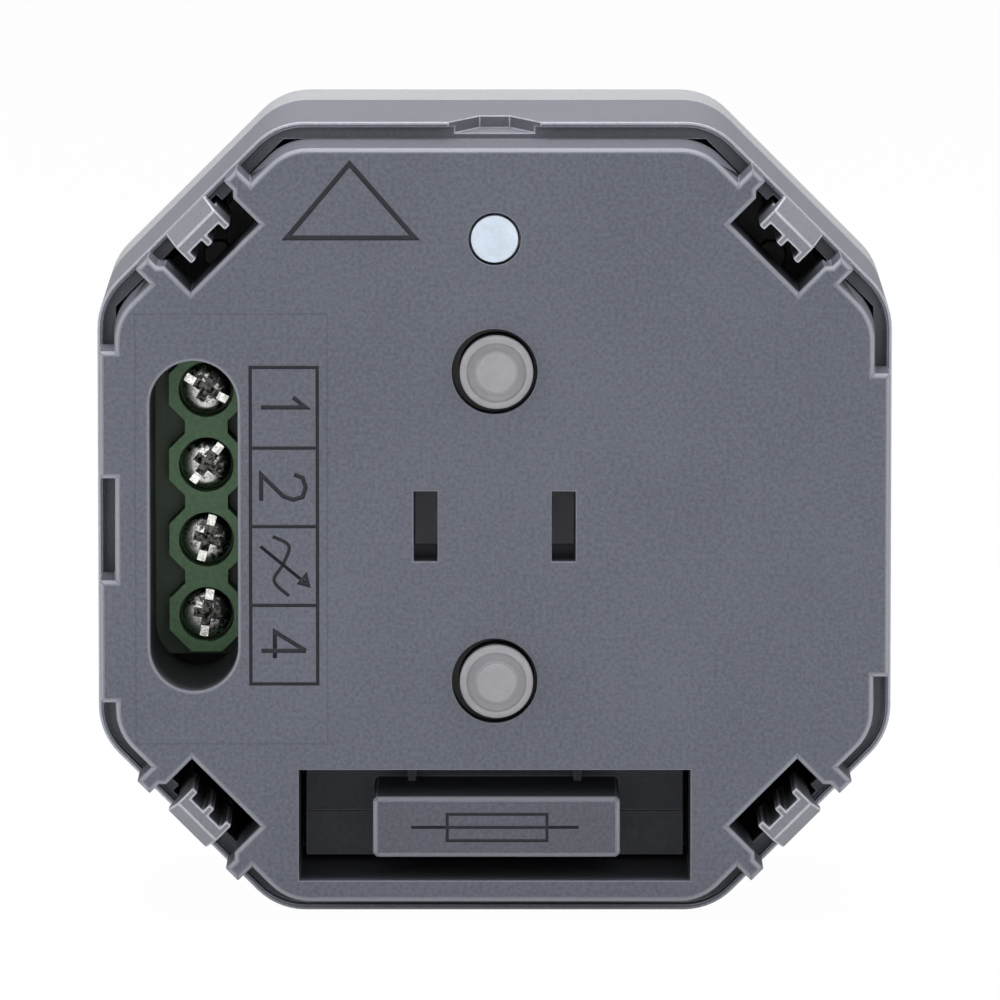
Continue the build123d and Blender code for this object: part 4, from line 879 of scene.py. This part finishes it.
fuse_strips.append(stroke(fuse_outline, sign_line, knob_top, knob_floor + apart, closed=True))
engrave(carrier, fuse_strips, groove_shade)

# Floor, light and camera. The module stands on a flat white floor under four soft area lamps,
# the strongest above, one in front and one at each side, as a catalogue shot is lit. The camera
# looks slightly down on it.
face_y = -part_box("front_cover")[0][1]
floor_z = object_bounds()[0][2]
down_angle = math.radians(6.7)
camera_distance = 790 * mm
pixels_per_mm = 15.35
frame_pixels = 1000
middle_pixel_x = 494.6
middle_pixel_y = 526.5
camera_data = bpy.data.cameras.new("camera")
camera_data.sensor_width = 36
camera_data.lens = pixels_per_mm * (camera_distance / mm) / frame_pixels * camera_data.sensor_width
camera_data.clip_start = 0.05
camera_data.clip_end = 20
camera = in_scene("camera", camera_data)
bpy.context.scene.camera = camera
forward = Vector((0, math.cos(down_angle), -math.sin(down_angle)))
upward = Vector((0, math.sin(down_angle), math.cos(down_angle)))
aim_right = (frame_pixels / 2 - middle_pixel_x) / pixels_per_mm * mm
aim_up = (middle_pixel_y - frame_pixels / 2) / pixels_per_mm * mm
aim = Vector((0, -face_y, 0)) + Vector((1, 0, 0)) * aim_right + upward * aim_up
camera.location = aim - forward * camera_distance
camera.rotation_euler = forward.to_track_quat("-Z", "Y").to_euler()


def soft_box(name, place, target, width, height, watts):
    """A flat area lamp that faces a point."""
    lamp = bpy.data.lights.new(name, "AREA")
    lamp.shape = "RECTANGLE"
    lamp.size = width
    lamp.size_y = height
    lamp.energy = watts
    stand = in_scene(name, lamp)
    stand.location = place
    stand.rotation_euler = (Vector(target) - Vector(place)).to_track_quat("-Z", "Y").to_euler()


module_middle = (0, -16 * mm, 0)
soft_box("top_light", (0, 60 * mm, 420 * mm), module_middle, 0.5, 0.4, 3.3)
soft_box("front_light", (0, -600 * mm, 60 * mm), module_middle, 0.7, 0.5, 1.65)
soft_box("left_light", (-450 * mm, -200 * mm, 120 * mm), module_middle, 0.3, 0.5, 1.0)
soft_box("right_light", (450 * mm, -200 * mm, 120 * mm), module_middle, 0.3, 0.5, 0.9)


def rays(place):
    """Whether a camera, a glossy or a transmission ray looks."""
    kinds = ("Is Camera Ray", "Is Glossy Ray", "Is Transmission Ray")
    return [place.node("ShaderNodeLightPath", {}, {}, output=kind) for kind in kinds]


floor_reach = 3.0
floor_mesh = bpy.data.meshes.new("floor")
corner_signs = ((-1, -1), (1, -1), (1, 1), (-1, 1))
floor_corners = [(floor_reach * x, floor_reach * y, floor_z) for x, y in corner_signs]
floor_mesh.from_pydata(floor_corners, [], [(0, 1, 2, 3)])
floor = in_scene("floor", floor_mesh)
floor_paint, floor_shader, floor_place = new_finish("floor_white")
floor_shader.inputs["Base Color"].default_value = (0.82, 0.82, 0.82, 1)
floor_shader.inputs["Roughness"].default_value = 0.8
floor_glow = floor_place.node("ShaderNodeEmission", {}, {"Color": (1, 1, 1, 1), "Strength": 1.0})
seen, glossy, through = rays(floor_place)
floor_share = floor_place.math("MINIMUM", seen + glossy + through, 1.0) * 0.98
floor_tree = floor_paint.node_tree
floor_parts = {0: floor_share, 1: Wire(floor_tree, floor_shader.outputs[0]), 2: floor_glow}
floor_blend = floor_place.node("ShaderNodeMixShader", {}, floor_parts)
floor_tree.links.new(floor_blend.socket, floor_tree.nodes["Material Output"].inputs["Surface"])
floor_mesh.materials.append(floor_paint)

world = bpy.data.worlds.new("studio")
bpy.context.scene.world = world
world.use_nodes = True
sky = world.node_tree.nodes["Background"]
sky.inputs["Color"].default_value = (1, 1, 1, 1)
sky_place = Wire(world.node_tree, sky.outputs[0])
sky_seen, sky_glossy, sky_through = rays(sky_place)
sky_share = sky_place.math("MINIMUM", sky_seen + sky_through + sky_glossy * 0.3, 1.0)
sky_strength = sky_share * 0.8 + 0.2
world.node_tree.links.new(sky_strength.socket, sky.inputs["Strength"])

bpy.context.scene.view_settings.view_transform = "Standard"
